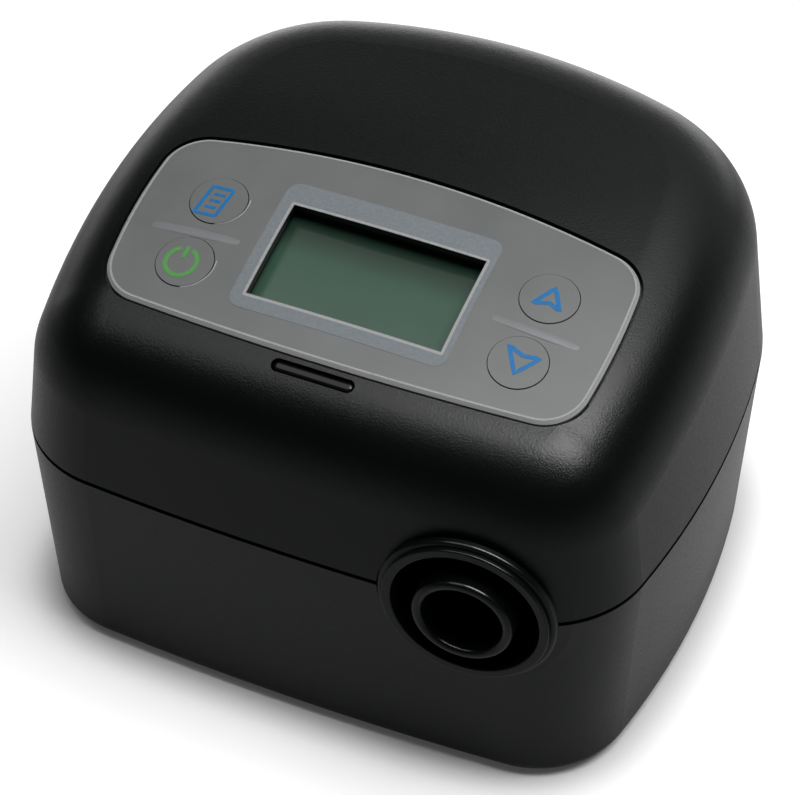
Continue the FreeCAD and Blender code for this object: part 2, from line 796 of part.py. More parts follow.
def lower_housing(outer):
    inner = lower_form("lower_inner", "wall", FLOOR_Z)
    shell = cut("lower_shell", outer, inner)
    solids = []
    for i, (x, y) in enumerate(boss_places()):
        solids.append(cylinder(f"lower_boss_{i}", "boss_radius", "seam_height-foot_height",
                               (x, y, "foot_height")))
    for i, (x, y) in enumerate(mount_places()):
        top = f"seam_height+{CASE_FLOOR}-mount_height"
        solids.append(cylinder(f"mount_post_{i}", "mount_post_radius", f"{top}-foot_height",
                               (x, y, "foot_height")))
    for i, (x, y) in enumerate(standoff_places()):
        solids.append(cylinder(f"standoff_{i}", "2.6", f"{FLOOR_Z}+standoff-foot_height", (x, y, "foot_height")))
    solids.append(port_solid("lower_seat", "collar_radius+port_gap+seat_wall", "0", "seat_depth"))
    solids.append(rear_prism("filter_tray", "filter_width+2*tray_wall", "filter_height+2*tray_wall",
                             "filter_corner+tray_wall", "filter_x", FILTER_Z, "tray_depth"))
    solids.append(rear_prism("inlet_boss", "inlet_width+6", "inlet_height+6", "3", "inlet_x", "inlet_z",
                             "inlet_recess+4"))
    inside = common("lower_ribs_inside", fuse("lower_ribs", solids), outer)
    lip = cut("lip_ring", outline_slab("lip_outer", "lip_inset", "seam_height-4", "4+lip_height"),
              outline_slab("lip_inner", "wall", "seam_height-5", "6+lip_height"))
    walls = fuse("lower_walls", [shell, inside])
    above = outline_slab("seam_relief_lower", "-5", "seam_height-seam_gap/2", "60")
    tools = []
    for i, (x, y) in enumerate(boss_places()):
        tools.append(cylinder(f"head_hole_{i}", "head_hole_radius", "seam_height-screw_seat_drop",
                              (x, y, "0")))
        tools.append(cylinder(f"lower_screw_hole_{i}", "screw_hole_radius+0.2", "60", (x, y, "0")))
    for i, (x, y) in enumerate(foot_places()):
        tools.append(cylinder(f"foot_recess_{i}", "foot_radius+fit_gap", "foot_height+foot_recess", (x, y, "0")))
    tools.append(vent_slots())
    opening = rear_prism("filter_opening", "filter_width", "filter_height", "filter_corner", "filter_x",
                         FILTER_Z, "tray_depth+2", "10")
    tools.append(opening)
    tools.append(rear_prism("inlet_opening", "inlet_width+2*fit_gap", "inlet_height+2*fit_gap", "2",
                            "inlet_x", "inlet_z", "inlet_recess", "10"))
    tools.append(rear_prism("inlet_throat", "inlet_width-4+2*fit_gap", "inlet_height-4+2*fit_gap", "1",
                            "inlet_x", "inlet_z", "inlet_recess+8", "10"))
    trimmed = cut("lower_trimmed", walls, fuse("lower_cuts", tools + [above]))
    lip_notches = [port_solid("lip_notch", "collar_radius+port_gap+seat_wall+fit_gap", "10", "seat_depth+1")]
    lip_notches += [cylinder(f"lip_boss_notch_{i}", "boss_radius+fit_gap", "20", (x, y, "seam_height-8"))
                    for i, (x, y) in enumerate(boss_places())]
    lip_clear = cut("lip_clear", lip, fuse("lip_notches", lip_notches))
    joined = fuse("lower_joined", [trimmed, lip_clear])
    return node(cut("lower_result", joined, port_hole("lower_port")), "lower_housing")


def standoff_places():
    return [(f"power_x+{sx}*(power_width/2-4)", f"power_y+{sy}*(power_length/2-4)")
            for sx in (-1, 1) for sy in (-1, 1)]


def foot_places():
    front = "front_y+foot_front_inset"
    back = f"{BACK_Y}-foot_back_inset"
    places = [("-foot_front_x", front), ("foot_front_x", front)]
    return places + [("-foot_back_x", back), ("foot_back_x", back)]


def vent_slots():
    """Row of cooling slots through the floor under the power board."""
    body = new_body("vent_slots")
    sketch = new_sketch(body, "vent_sketch")
    draw_rounded_box(sketch, "power_x", "power_y-vent_pitch*(vent_count-1)/2", "vent_length", "vent_width",
                     "vent_width/2-0.01")
    slot = pad(body, sketch, "foot_height+wall+1")
    pattern = body.newObject("PartDesign::LinearPattern", "vent_row")
    pattern.Originals = [slot]
    pattern.Direction = (sketch, ["V_Axis"])
    bind(pattern, Length="vent_pitch*(vent_count-1)", Occurrences="vent_count")
    body.Tip = pattern
    doc.recompute()
    return body


def rear_prism(name, width, height, corner, x, z, depth, outward="0"):
    """Rounded prism through the rear wall, from depth inside it to outward behind it."""
    body = new_body(name)
    sketch = new_sketch(body, f"{name}_sketch", "XZ_Plane", f"-{BACK_Y}-({outward})")
    draw_rounded_box(sketch, x, z, width, height, corner)
    pad(body, sketch, f"({depth})+({outward})")
    return body


def feet():
    profile = [("0", "0"), ("foot_radius-0.8", "0"), ("foot_radius", "0.8"),
               ("foot_radius", "foot_height+foot_recess"), ("0", "foot_height+foot_recess")]
    names = ("front_left", "front_right", "rear_left", "rear_right")
    for name, (x, y) in zip(names, foot_places()):
        body = turned(f"foot_{name}", profile)
        node(place(body, (x, y, "0")), f"foot_{name}")


def housing_screws():
    screws = []
    for i, (x, y) in enumerate(boss_places()):
        profile = [("0", "0"), ("screw_head_radius", "0"), ("screw_head_radius", "screw_head_height"),
                   ("screw_radius", "screw_head_height"), ("screw_radius", "screw_head_height+screw_length-1"),
                   ("0.6", "screw_head_height+screw_length"), ("0", "screw_head_height+screw_length")]
        screw = turned(f"screw_{i}", profile)
        place(screw, (x, y, "seam_height-screw_seat_drop-screw_head_height"))
        screws.append(screw)
    node(grouped("screw_set", screws), "housing_screws")


# ---- control panel and display ------------------------------------------------------------------

def control_panel():
    body = new_body("panel_plate")
    sketch = new_sketch(body, "panel_plate_outline", lift="seam_height+15")
    draw_bowed_outline(sketch, panel_outline("0"))
    pad(body, sketch, "top_height-seam_height-10")
    crown_trim(body, "panel_proud", "above")
    crown_trim(body, "panel_proud-panel_thickness", "below")
    bevel_face(body, highest_face(body.Shape), "panel_bevel")
    tools = []
    window = box("panel_window", ("window_width", "window_depth", "12"), ORIGIN)
    tools.append(place_on_panel(window, "-window_width/2", "-window_depth/2", "-6"))
    for name, x, v in button_places():
        hole = cylinder(f"{name}_panel_hole", "button_radius+button_gap", "12")
        tools.append(place_on_panel(hole, x, v, "-6"))
    node(cut("panel_result", body, fuse("panel_cuts", tools)), "control_panel")


def crown_layer(name, top, bottom):
    """Layer of the panel's outline between two surfaces parallel to the crown."""
    body = prism(name, lambda s: draw_bowed_outline(s, panel_outline("0")),
                 "top_height-seam_height-10", lift="seam_height+15")
    crown_trim(body, top, "above")
    crown_trim(body, bottom, "below")
    return body


def buttons():
    """Caps that follow the crown, each with a skirt under the panel and a stem down to its switch."""
    under = "panel_proud-panel_thickness"
    cap_layer = crown_layer("cap_layer", "panel_proud+button_proud", f"{under}-0.5")
    skirt_layer = crown_layer("skirt_layer", f"{under}-0.1", f"{under}-0.9")
    for name, x, v in button_places():
        post = cylinder(f"{name}_cap_post", "button_radius", "16")
        cap = common(f"{name}_cap_top", place_on_panel(post, x, v, "-8"), cap_layer)
        disc = cylinder(f"{name}_skirt_post", "button_radius+button_skirt", "16")
        skirt = common(f"{name}_skirt", place_on_panel(disc, x, v, "-8"), skirt_layer)
        stem = cylinder(f"{name}_stem", "button_stem_radius", f"-3.2-{PLUNGER_TOP}")
        place_on_panel(stem, x, v, PLUNGER_TOP)
        node(fuse(f"{name}_button_solid", [cap, skirt, stem]), f"{name}_button")


PLUNGER_TOP = f"({BOARD_TOP}+switch_height+plunger_stand)"


def switches():
    """Tactile switches on the display board, each with a plunger that its button presses."""
    cases = []
    for name, x, v in button_places():
        case = box(f"{name}_switch_box", ("switch_size", "switch_size", "switch_height"), ORIGIN)
        place_on_panel(case, f"{x}-switch_size/2", f"{v}-switch_size/2", BOARD_TOP)
        well = cylinder(f"{name}_switch_well", "plunger_radius+plunger_gap", "switch_height")
        place_on_panel(well, x, v, f"{BOARD_TOP}+1.2")
        cases.append(cut(f"{name}_switch_case", case, well))
        plunger = cylinder(f"{name}_plunger_rod", "plunger_radius", "switch_height+plunger_stand-1.2-button_travel-0.1")
        place_on_panel(plunger, x, v, f"{BOARD_TOP}+1.3+button_travel")
        node(plunger, f"{name}_switch_plunger")
    node(grouped("switch_set", cases), "tact_switches")


def display():
    glass = new_body("lcd_stack")
    rear = new_sketch(glass, "lcd_rear")
    draw_loop(rear, rectangle("0", "0", "glass_width", "glass_depth"))
    pad(glass, rear, "glass_thickness/2")
    front = new_sketch(glass, "lcd_front", lift="glass_thickness/2")
    draw_loop(front, rectangle("0", "1.5", "glass_width", "glass_depth-3"))
    pad(glass, front, "glass_thickness/2")
    node(place_on_panel(glass, "0", "0", "-glass_drop-glass_thickness"), "lcd_glass")
    light = new_body("backlight_plate")
    plate = new_sketch(light, "backlight_outline")
    draw_rounded_box(plate, "0", "0", "glass_width", "glass_depth", "1.2")
    pad(light, plate, "backlight_thickness")
    node(place_on_panel(light, "0", "0", BOARD_TOP), "lcd_backlight")
    frame = new_body("lcd_bezel")
    ring = new_sketch(frame, "lcd_bezel_outline")
    draw_rounded_box(ring, "0", "0", "glass_width+4", "glass_depth+4", "2")
    draw_loop(ring, rectangle("0", "0", "glass_width+2*fit_gap", "glass_depth+2*fit_gap"))
    pad(frame, ring, "glass_thickness+backlight_thickness")
    node(place_on_panel(frame, "0", "0", BOARD_TOP), "lcd_frame")


def rectangle(x, y, width, height):
    left, right = f"({x})-({width})/2", f"({x})+({width})/2"
    low, high = f"({y})-({height})/2", f"({y})+({height})/2"
    return [(left, low), (right, low), (right, high), (left, high)]


def display_board():
    body = new_body("display_pcb")
    outline = new_sketch(body, "display_pcb_outline")
    draw_rounded_box(outline, "0", "0", "board_width", "board_depth", "2")
    for x, v in post_places():
        draw_circle(outline, x, v, "1.2")
    pad(body, outline, "board_thickness")
    place_on_panel(body, "0", "0", f"{BOARD_TOP}-board_thickness")
    node(body, "display_board")
    screws = []
    for i, (x, v) in enumerate(post_places()):
        screw = turned(f"board_screw_{i}", [("0", "-1.5"), ("2.2", "-1.5"), ("2.2", "0"), ("0.95", "0"),
                                            ("0.95", "board_thickness+4"), ("0", "board_thickness+4")])
        screws.append(place_on_panel(screw, x, v, f"{BOARD_TOP}-board_thickness"))
    node(grouped("board_screw_set", screws), "display_screws")


def indicator_lens():
    """Smoked bar with a rounded top, pushed up from inside against its flange."""
    pill = lens_prism("lens_pill", "0", "-lens_drop", "-lens_depth")
    round_face(pill, highest_face(pill.Shape), "lens_round")
    flange = lens_prism("lens_flange_plate", "lens_flange", "-lens_depth", "-lens_depth-1.2")
    node(fuse("lens_solid", [pill, flange]), "indicator_lens")


# ---- outlet -------------------------------------------------------------------------------------

def outlet_collar():
    """Round surround of the air outlet: a stepped ring on a neck, with a deep recess for the cuff."""
    back = "(-collar_recess_depth-collar_plate)"
    step = "(collar_proud-collar_step)"
    seat = "(-seat_depth-fit_gap)"
    flange = "neck_radius+fit_gap+collar_flange"
    profile = [("collar_recess_radius", "collar_proud"), ("collar_face_radius", "collar_proud"),
               ("collar_face_radius", step), ("collar_radius", step), ("collar_radius", SHOULDER_BACK),
               ("neck_radius", SHOULDER_BACK), ("neck_radius", seat), (flange, seat),
               (flange, f"{seat}-flange_thickness"), ("neck_radius", f"{seat}-flange_thickness"),
               ("neck_radius", back), ("tube_root_radius+fit_gap", back),
               ("tube_root_radius+fit_gap", "-collar_recess_depth"),
               ("collar_recess_radius-0.3", "-collar_recess_depth")]
    body = turned("collar_ring", profile)
    round_rims(body, [("collar_radius", step)], "collar_round")
    round_rims(body, [("collar_recess_radius", "collar_proud"), ("collar_face_radius", "collar_proud")], "0.35")
    node(place_in_port(body), "outlet_collar")


def duct_cylinder(name, radius, start, length):
    """Cylinder on the axis of the blower's duct, from a depth behind the front wall."""
    piece = doc.addObject("Part::Cylinder", name)
    bind(piece, Radius=radius, Height=length)
    return turn_outward(piece, (DUCT_X, f"{PORT_WALL_Y}+({start})+({length})", "seam_height"))


def outlet_tube():
    """Tapered male cone that takes the hose cuff, with a flange behind the collar and a spigot."""
    back = "(-collar_recess_depth-collar_plate-fit_gap)"
    profile = [("tube_bore_radius", "tube_proud"), ("tube_radius", "tube_proud"),
               ("tube_radius", "-cuff_depth"), ("tube_root_radius", back), ("tube_root_radius+3", back),
               ("tube_root_radius+3", f"-{KNEE}"), ("tube_bore_radius", f"-{KNEE}")]
    cone = turned("tube_cone", profile)
    round_rims(cone, [("tube_bore_radius", "tube_proud"), ("tube_radius", "tube_proud")], "tube_round")
    spigot = cut("tube_spigot", duct_cylinder("spigot_outside", "spigot_radius", f"{KNEE}-1", "spigot_length+1"),
                 duct_cylinder("spigot_bore", "tube_bore_radius-0.4", f"{KNEE}-2", "spigot_length+3"))
    node(fuse("tube_solid", [place_in_port(cone), spigot]), "outlet_tube")


def outlet_boot():
    """Rubber boot with two convolutions, from the tube's spigot to the blower's."""
    start = f"(-{KNEE}-1.2)"
    end = f"({PORT_WALL_Y}-({BLOWER_Y}-outlet_reach)+fit_gap)"
    inner = "spigot_radius+fit_gap"
    outer = f"{inner}+boot_wall"
    outside = [(outer, start), (outer, f"{start}-8"), (f"{outer}+boot_bulge", f"{start}-9.5"),
               (outer, f"{start}-11"), (f"{outer}+boot_bulge", f"{start}-12.5"), (outer, f"{start}-14"), (outer, end)]
    inside = [(inner, end), (inner, f"{start}-14.5"), (f"{inner}+boot_bulge", f"{start}-12.5"),
              (f"{inner}+0.4", f"{start}-11"), (f"{inner}+boot_bulge", f"{start}-9.5"), (inner, f"{start}-7.5"),
              (inner, start)]
    body = turned("boot_tube", outside + inside)
    node(turn_outward(body, (DUCT_X, PORT_WALL_Y, "seam_height")), "outlet_boot")


# ---- blower -------------------------------------------------------------------------------------

def draw_volute(sketch, inset, reach):
    """Spiral of four growing quarter arcs about a small square, with a straight outlet duct."""
    half = "volute_step/2"
    radii = [f"volute_radius+{i}*volute_step-({inset})" for i in (3, 2, 1, 0)]
    centres = ((1, -1), (1, 1), (-1, 1), (-1, -1))
    for i, (sx, sy) in enumerate(centres):
        centre = FreeCAD.Vector(sx * value(half), sy * value(half), 0)
        circle = Part.Circle(centre, Z_AXIS, value(radii[i]))
        sketch.addGeometry(Part.ArcOfCircle(circle, math.pi / 2 * i, math.pi / 2 * (i + 1)), False)
    level = -value(half)
    low = -value(reach)
    right = sketch.Geometry[0].StartPoint
    tongue = sketch.Geometry[3].EndPoint
    left_x = f"volute_radius-{half}+({inset})"
    left = FreeCAD.Vector(value(left_x), level, 0)
    path = [FreeCAD.Vector(right.x, low, 0), right]
    sketch.addGeometry(Part.LineSegment(*path), False)
    sketch.addGeometry(Part.LineSegment(left, FreeCAD.Vector(left.x, low, 0)), False)
    sketch.addGeometry(Part.LineSegment(FreeCAD.Vector(left.x, low, 0), path[0]), False)
    for i in range(4):
        turn = ("Horizontal", "Vertical") if i % 2 == 0 else ("Vertical", "Horizontal")
        sketch.addConstraint(Sketcher.Constraint(turn[0], i, 3, i, 1))
        sketch.addConstraint(Sketcher.Constraint(turn[1], i, 3, i, 2))
        drive(sketch, "Radius", (i,), radii[i])
    pin_point(sketch, 0, 3, half, f"-{half}")
    for i in range(3):
        sketch.addConstraint(Sketcher.Constraint("Coincident", i, 2, i + 1, 1))
    sketch.addConstraint(Sketcher.Constraint("Coincident", 4, 2, 0, 1))
    sketch.addConstraint(Sketcher.Constraint("Vertical", 4))
    drive(sketch, "DistanceY", (-1, 1, 4, 1), f"-({reach})")
    sketch.addConstraint(Sketcher.Constraint("Vertical", 5))
    drive(sketch, "DistanceY", (-1, 1, 5, 2), f"-({reach})")
    sketch.addConstraint(Sketcher.Constraint("Coincident", 5, 2, 6, 1))
    sketch.addConstraint(Sketcher.Constraint("Coincident", 6, 2, 4, 1))
    if left.isEqual(tongue, 1e-6):
        sketch.addConstraint(Sketcher.Constraint("Coincident", 3, 2, 5, 1))
        return
    end = sketch.addGeometry(Part.LineSegment(tongue, left), False)
    sketch.addConstraint(Sketcher.Constraint("Coincident", 3, 2, end, 1))
    sketch.addConstraint(Sketcher.Constraint("Horizontal", end))
    sketch.addConstraint(Sketcher.Constraint("Coincident", end, 2, 5, 1))
    drive(sketch, "DistanceX", (-1, 1, end, 2), left_x)


def volute(name, inset, bottom, height, reach):
    return prism(name, lambda sketch: draw_volute(sketch, inset, reach), height, lift=bottom)


def blower_place(piece):
    return place(piece, (BLOWER_X, BLOWER_Y, "seam_height"))


def blower_case():
    """Lower half of the spiral case, with the outlet spigot and the motor's opening."""
    outer = volute("case_outer", "0", CASE_FLOOR, "2*duct_half_height+case_plate", "outlet_reach")
    hollow = volute("case_hollow", "volute_wall", "-duct_half_height", "3*duct_half_height",
                    "outlet_reach-case_plate")
    spigot = doc.addObject("Part::Cylinder", "case_spigot")
    bind(spigot, Radius="spigot_radius", Height="case_spigot_length+case_plate")
    centre = "volute_radius+1.5*volute_step"
    turn_outward(spigot, (centre, "-outlet_reach+case_plate", "0"))
    end_wall = box("case_end_wall", ("4*volute_step", "case_plate", "2*duct_half_height+2*case_plate"),
                   (centre, "-outlet_reach+case_plate/2", CASE_FLOOR))
    bore = doc.addObject("Part::Cylinder", "case_bore")
    bind(bore, Radius="tube_bore_radius", Height="case_spigot_length+2*case_plate+1")
    turn_outward(bore, (centre, "-outlet_reach+case_plate+1", "0"))
    shaft_hole = cylinder("case_shaft_hole", "hub_radius-2", "case_plate+2", ("0", "0", f"{CASE_FLOOR}-1"))
    shell = cut("case_shell", outer, hollow)
    tongue = cylinder("case_tongue", "volute_wall", "2*duct_half_height+case_plate",
                      ("volute_radius-volute_step/2", "-volute_step/2", CASE_FLOOR))
    walls = fuse("case_walls", [shell, spigot, end_wall, tongue])
    solid = cut("case_result", walls, fuse("case_cuts", [bore, shaft_hole]))
    node(blower_place(solid), "blower_case")


def blower_cover():
    """Upper half of the spiral case, with a bell mouth over the impeller's eye."""
    plate = volute("cover_plate", "0", "duct_half_height", "case_plate", "outlet_reach-case_plate-fit_gap")
    eye = cylinder("cover_eye", "eye_radius", "3*case_plate", ("0", "0", "duct_half_height-case_plate"))
    opened = cut("cover_opened", plate, eye)
    top = "duct_half_height+case_plate+bell_height"
    bell = turned("cover_bell", [("eye_radius", "duct_half_height"), ("eye_radius+2", "duct_half_height"),
                                 ("eye_radius+2", f"{top}-2"), ("eye_radius+3.5", top), ("eye_radius+2.4", top),
                                 ("eye_radius", f"{top}-3")])
    node(blower_place(fuse("cover_result", [opened, bell])), "blower_cover")


def impeller():
    """Backward-curved blades on a disc with a domed hub."""
    body = new_body("impeller_wheel")
    profile = new_sketch(body, "impeller_profile", "XZ_Plane")
    disc = "(-duct_half_height+impeller_gap)"
    draw_loop(profile, [("shaft_radius", f"{disc}-0.6"), ("hub_radius", f"{disc}-0.6"), ("hub_radius", disc),
                        ("impeller_radius", disc), ("impeller_radius", f"{disc}+1.2"),
                        ("hub_radius+5", f"{disc}+1.8"), ("hub_radius+1.5", f"{disc}+4"),
                        ("hub_radius-0.5", f"{disc}+8.5"), ("hub_radius-3", f"{disc}+10.5"),
                        ("shaft_radius", f"{disc}+10.5")])
    revolve(body, profile)
    blade = new_sketch(body, "blade_section", lift=f"{disc}+0.6")
    draw_blade(blade)
    first = pad(body, blade, "2*duct_half_height-2*impeller_gap-1.5")
    pattern = body.newObject("PartDesign::PolarPattern", "blade_ring")
    pattern.Originals = [first]
    pattern.Axis = (blade, ["N_Axis"])
    pattern.Angle = 360
    bind(pattern, Occurrences="blade_count")
    body.Tip = pattern
    doc.recompute()
    node(blower_place(body), "impeller")


def draw_blade(sketch):
    """Curved blade section: two arcs about one centre, closed by two radial ends."""
    tip = "(impeller_radius-0.5)"
    start = FreeCAD.Vector(value("blade_root_radius"), 0, 0)
    finish = FreeCAD.Vector(value(f"{tip}*cos(blade_sweep)"), value(f"{tip}*sin(blade_sweep)"), 0)
    chord = finish - start
    radius = value("blade_radius")
    rise = math.sqrt(radius ** 2 - (chord.Length / 2) ** 2)
    centre = (start + finish) / 2 + FreeCAD.Vector(-chord.y, chord.x, 0) / chord.Length * rise
    first = math.atan2(start.y - centre.y, start.x - centre.x)
    last = math.atan2(finish.y - centre.y, finish.x - centre.x)
    for r in (radius, radius - value("blade_thickness")):
        sketch.addGeometry(Part.ArcOfCircle(Part.Circle(centre, Z_AXIS, r), first, last), False)
    outer, inner = sketch.Geometry[0], sketch.Geometry[1]
    sketch.addGeometry(Part.LineSegment(outer.StartPoint, inner.StartPoint), False)
    sketch.addGeometry(Part.LineSegment(outer.EndPoint, inner.EndPoint), False)
    sketch.addConstraint(Sketcher.Constraint("Coincident", 0, 3, 1, 3))
    sketch.addConstraint(Sketcher.Constraint("Perpendicular", 0, 1, 2, 1))
    sketch.addConstraint(Sketcher.Constraint("Perpendicular", 0, 2, 3, 1))
    sketch.addConstraint(Sketcher.Constraint("Coincident", 1, 1, 2, 2))
    sketch.addConstraint(Sketcher.Constraint("Coincident", 1, 2, 3, 2))
    drive(sketch, "Radius", (0,), "blade_radius")
    drive(sketch, "Radius", (1,), "blade_radius-blade_thickness")
    pin_point(sketch, 0, 1, "blade_root_radius", "0")
    pin_point(sketch, 0, 2, f"{tip}*cos(blade_sweep)", f"{tip}*sin(blade_sweep)")


def rotor():
    bottom = f"{CASE_FLOOR}-motor_height+motor_wall"
    top = "-duct_half_height+impeller_gap+10.5"
    shaft = turned("shaft_rod", [("0", f"{bottom}+0.3"), ("shaft_radius-0.3", f"{bottom}+0.3"),
                                 ("shaft_radius", f"{bottom}+0.6"), ("shaft_radius", top), ("0", top)])
    node(blower_place(shaft), "motor_shaft")
    low = f"{CASE_FLOOR}-motor_height+motor_wall+bearing_width+1.5"
    magnet = turned("magnet_ring", [("shaft_radius", low), ("magnet_radius", low),
                                    ("magnet_radius", f"{low}+stator_height+1"),
                                    ("shaft_radius", f"{low}+stator_height+1")])
    node(blower_place(magnet), "rotor_magnet")


def motor():
    bottom = f"{CASE_FLOOR}-motor_height"
    floor = f"{bottom}+motor_wall"
    top = f"{CASE_FLOOR}-motor_wall-fit_gap"
    can = turned("motor_cup", [("0", bottom), ("motor_radius-1", bottom), ("motor_radius", f"{bottom}+1"),
                               ("motor_radius", top), ("motor_radius-motor_wall", top),
                               ("motor_radius-motor_wall", floor), ("bearing_radius+1.2", floor),
                               ("bearing_radius+1.2", f"{floor}+bearing_width"),
                               ("bearing_radius", f"{floor}+bearing_width"), ("bearing_radius", floor),
                               ("0", floor)])
    node(blower_place(can), "motor_can")
    plate_top = CASE_FLOOR
    seat = f"{top}-bearing_width+motor_wall"
    plate = turned("motor_lid", [("shaft_radius+1", f"{plate_top}-0.5"), ("shaft_radius+1", plate_top),
                                 ("motor_radius", plate_top), ("motor_radius", top),
                                 ("bearing_radius+1.2", top), ("bearing_radius+1.2", seat),
                                 ("bearing_radius", seat), ("bearing_radius", f"{plate_top}-0.5")])
    node(blower_place(plate), "motor_end_plate")
    bearings = []
    for name, low in (("lower", floor), ("upper", f"{plate_top}-0.5-bearing_width")):
        inner = "shaft_radius+shaft_gap"
        ring = turned(f"{name}_bearing", [(inner, low), ("bearing_radius", low),
                                          ("bearing_radius", f"{low}+bearing_width"),
                                          (inner, f"{low}+bearing_width")])
        bearings.append(blower_place(ring))
    node(grouped("bearing_pair", bearings), "shaft_bearings")
    stator(f"{floor}+bearing_width+2")


def stator(low):
    body = new_body("stator_ring")
    ring = new_sketch(body, "stator_outline", lift=low)
    draw_circle(ring, "0", "0", "motor_radius-motor_wall")
    draw_circle(ring, "0", "0", "magnet_radius+air_gap")
    pad(body, ring, "stator_height")
    slot = new_sketch(body, "stator_slot", lift=low)
    draw_loop(slot, rectangle("(magnet_radius+motor_radius-motor_wall)/2-1", "0",
                              "motor_radius-motor_wall-magnet_radius-1", "2.6"))
    first = pocket(body, slot, "stator_height", reverse=True)
    pattern = body.newObject("PartDesign::PolarPattern", "slot_ring")
    pattern.Originals = [first]
    pattern.Axis = (slot, ["N_Axis"])
    pattern.Angle = 360
    pattern.Occurrences = 9
    body.Tip = pattern
    doc.recompute()
    node(blower_place(body), "motor_stator")


def blower_mounts():
    profile = [("0", "0"), ("mount_radius", "0"), ("mount_radius", "1.5"), ("mount_radius-1.4", "2.4"),
               ("mount_radius-1.4", "mount_height-2.4"), ("mount_radius", "mount_height-1.5"),
               ("mount_radius", "mount_height"), ("0", "mount_height")]
    mounts = []
    for i, (x, y) in enumerate(mount_places()):
        mount = turned(f"mount_{i}", profile)
        mounts.append(place(mount, (x, y, f"seam_height+{CASE_FLOOR}-mount_height")))
    node(grouped("mount_set", mounts), "blower_mounts")


def muffler_foam():
    low = "duct_half_height+case_plate"
    body = turned("foam_ring", [("eye_radius+4", low), ("foam_radius", low), ("foam_radius", f"{low}+foam_height"),
                                ("eye_radius+4", f"{low}+foam_height")])
    round_rims(body, [("foam_radius", f"{low}+foam_height")], "2")
    node(blower_place(body), "muffler_foam")


# ---- rear ---------------------------------------------------------------------------------------

def filter_cover(outer):
    """Louvred cover cut from the rear wall's own curved form."""
    inner = lower_form("cover_inner", "cover_thickness", "foot_height+cover_thickness")
    skin = cut("cover_skin", outer, inner)
    block = rear_prism("cover_block", "filter_width-2*cover_gap", "filter_height-2*cover_gap",
                       "filter_corner-cover_gap", "filter_x", FILTER_Z, "20", "5")
    blank = common("cover_blank", skin, block)
    louvres = new_body("louvre_cuts")
    sketch = new_sketch(louvres, "louvre_sketch", "XZ_Plane", f"-{BACK_Y}-5")
    draw_rounded_box(sketch, "filter_x", f"{FILTER_Z}-louvre_pitch*(louvre_count-1)/2", "louvre_width",
                     "louvre_height", "louvre_height/2-0.01")
    slot = pad(louvres, sketch, "25")
    pattern = louvres.newObject("PartDesign::LinearPattern", "louvre_row")
    pattern.Originals = [slot]
    pattern.Direction = (sketch, ["V_Axis"])
    bind(pattern, Length="louvre_pitch*(louvre_count-1)", Occurrences="louvre_count")
    louvres.Tip = pattern
    doc.recompute()
    node(cut("cover_result_rear", blank, louvres), "filter_cover")


def filter_stack():
    """Foam filter and the grille that stops it, in the tray behind the cover."""
    def frame(name, inset, low, thickness):
        body = new_body(name)
        sketch = new_sketch(body, f"{name}_sketch", "XZ_Plane", f"-{BACK_Y}+({low})")
        draw_rounded_box(sketch, "filter_x", FILTER_Z, f"filter_width-2*({inset})",
                         f"filter_height-2*({inset})", "filter_corner-0.5")
        pad(body, sketch, thickness)
        return body, sketch
    foam, _ = frame("foam_block", "0.5", "tray_depth-grille_thickness-foam_thickness-fit_gap", "foam_thickness")
    node(foam, "filter_foam")
    grille, _ = frame("grille_plate", "0.2", "tray_depth-grille_thickness", "grille_thickness")
    slot = new_sketch(grille, "grille_slot", "XZ_Plane", f"-{BACK_Y}+tray_depth-grille_thickness")
    draw_rounded_box(slot, "filter_x-filter_width/2+7", FILTER_Z, "3.4", "filter_height-7", "1.69")
    first = pocket(grille, slot, "grille_thickness", reverse=True)
    pattern = grille.newObject("PartDesign::LinearPattern", "grille_row")
    pattern.Originals = [first]
    pattern.Direction = (slot, ["H_Axis"])
    bind(pattern, Length="filter_width-14")
    pattern.Occurrences = 8
    grille.Tip = pattern
    doc.recompute()
    node(grille, "filter_grille")


def power_inlet():
    """Two-pin mains inlet, flanged into a flat recess of the rear wall."""
    face = f"-{BACK_Y}+inlet_recess-2"
    body = new_body("inlet_body")
    flange = new_sketch(body, "inlet_flange", "XZ_Plane", face)
    draw_rounded_box(flange, "inlet_x", "inlet_z", "inlet_width", "inlet_height", "1.8")
    pad(body, flange, "2")
    barrel = new_sketch(body, "inlet_barrel", "XZ_Plane", f"{face}+2")
    draw_rounded_box(barrel, "inlet_x", "inlet_z", "inlet_width-4", "inlet_height-4", "1")
    pad(body, barrel, "inlet_depth-2")
    socket = new_sketch(body, "inlet_socket", "XZ_Plane", face)
    draw_rounded_box(socket, "inlet_x", "inlet_z", "socket_pitch+2*socket_radius-0.6", "2*socket_radius",
                     "socket_radius-0.01")
    pocket(body, socket, "socket_depth", reverse=True)
    pins = []
    for i, side in enumerate((-1, 1)):
        pin = turned(f"inlet_pin_{i}", [("0", "0"), ("pin_radius", "0"), ("pin_radius", "pin_length-0.8"),
                                        ("pin_radius-0.6", "pin_length"), ("0", "pin_length")])
        pin.Placement = FreeCAD.Placement(FreeCAD.Vector(), FreeCAD.Rotation(X_AXIS, -90))
        y = f"{BACK_Y}-inlet_recess+2-socket_depth"
        pins.append(place(pin, (f"inlet_x+{side}*socket_pitch/2", y, "inlet_z")))
    node(body, "power_inlet")
    node(grouped("inlet_pin_pair", pins), "inlet_pins")


# ---- power board --------------------------------------------------------------------------------

POWER_TOP = f"({FLOOR_Z}+standoff+board_thickness)"


def power_board():
    body = new_body("power_pcb")
    outline = new_sketch(body, "power_pcb_outline", lift=f"{FLOOR_Z}+standoff")
    draw_rounded_box(outline, "power_x", "power_y", "power_width", "power_length", "2")
    pad(body, outline, "board_thickness")
    node(body, "power_board")


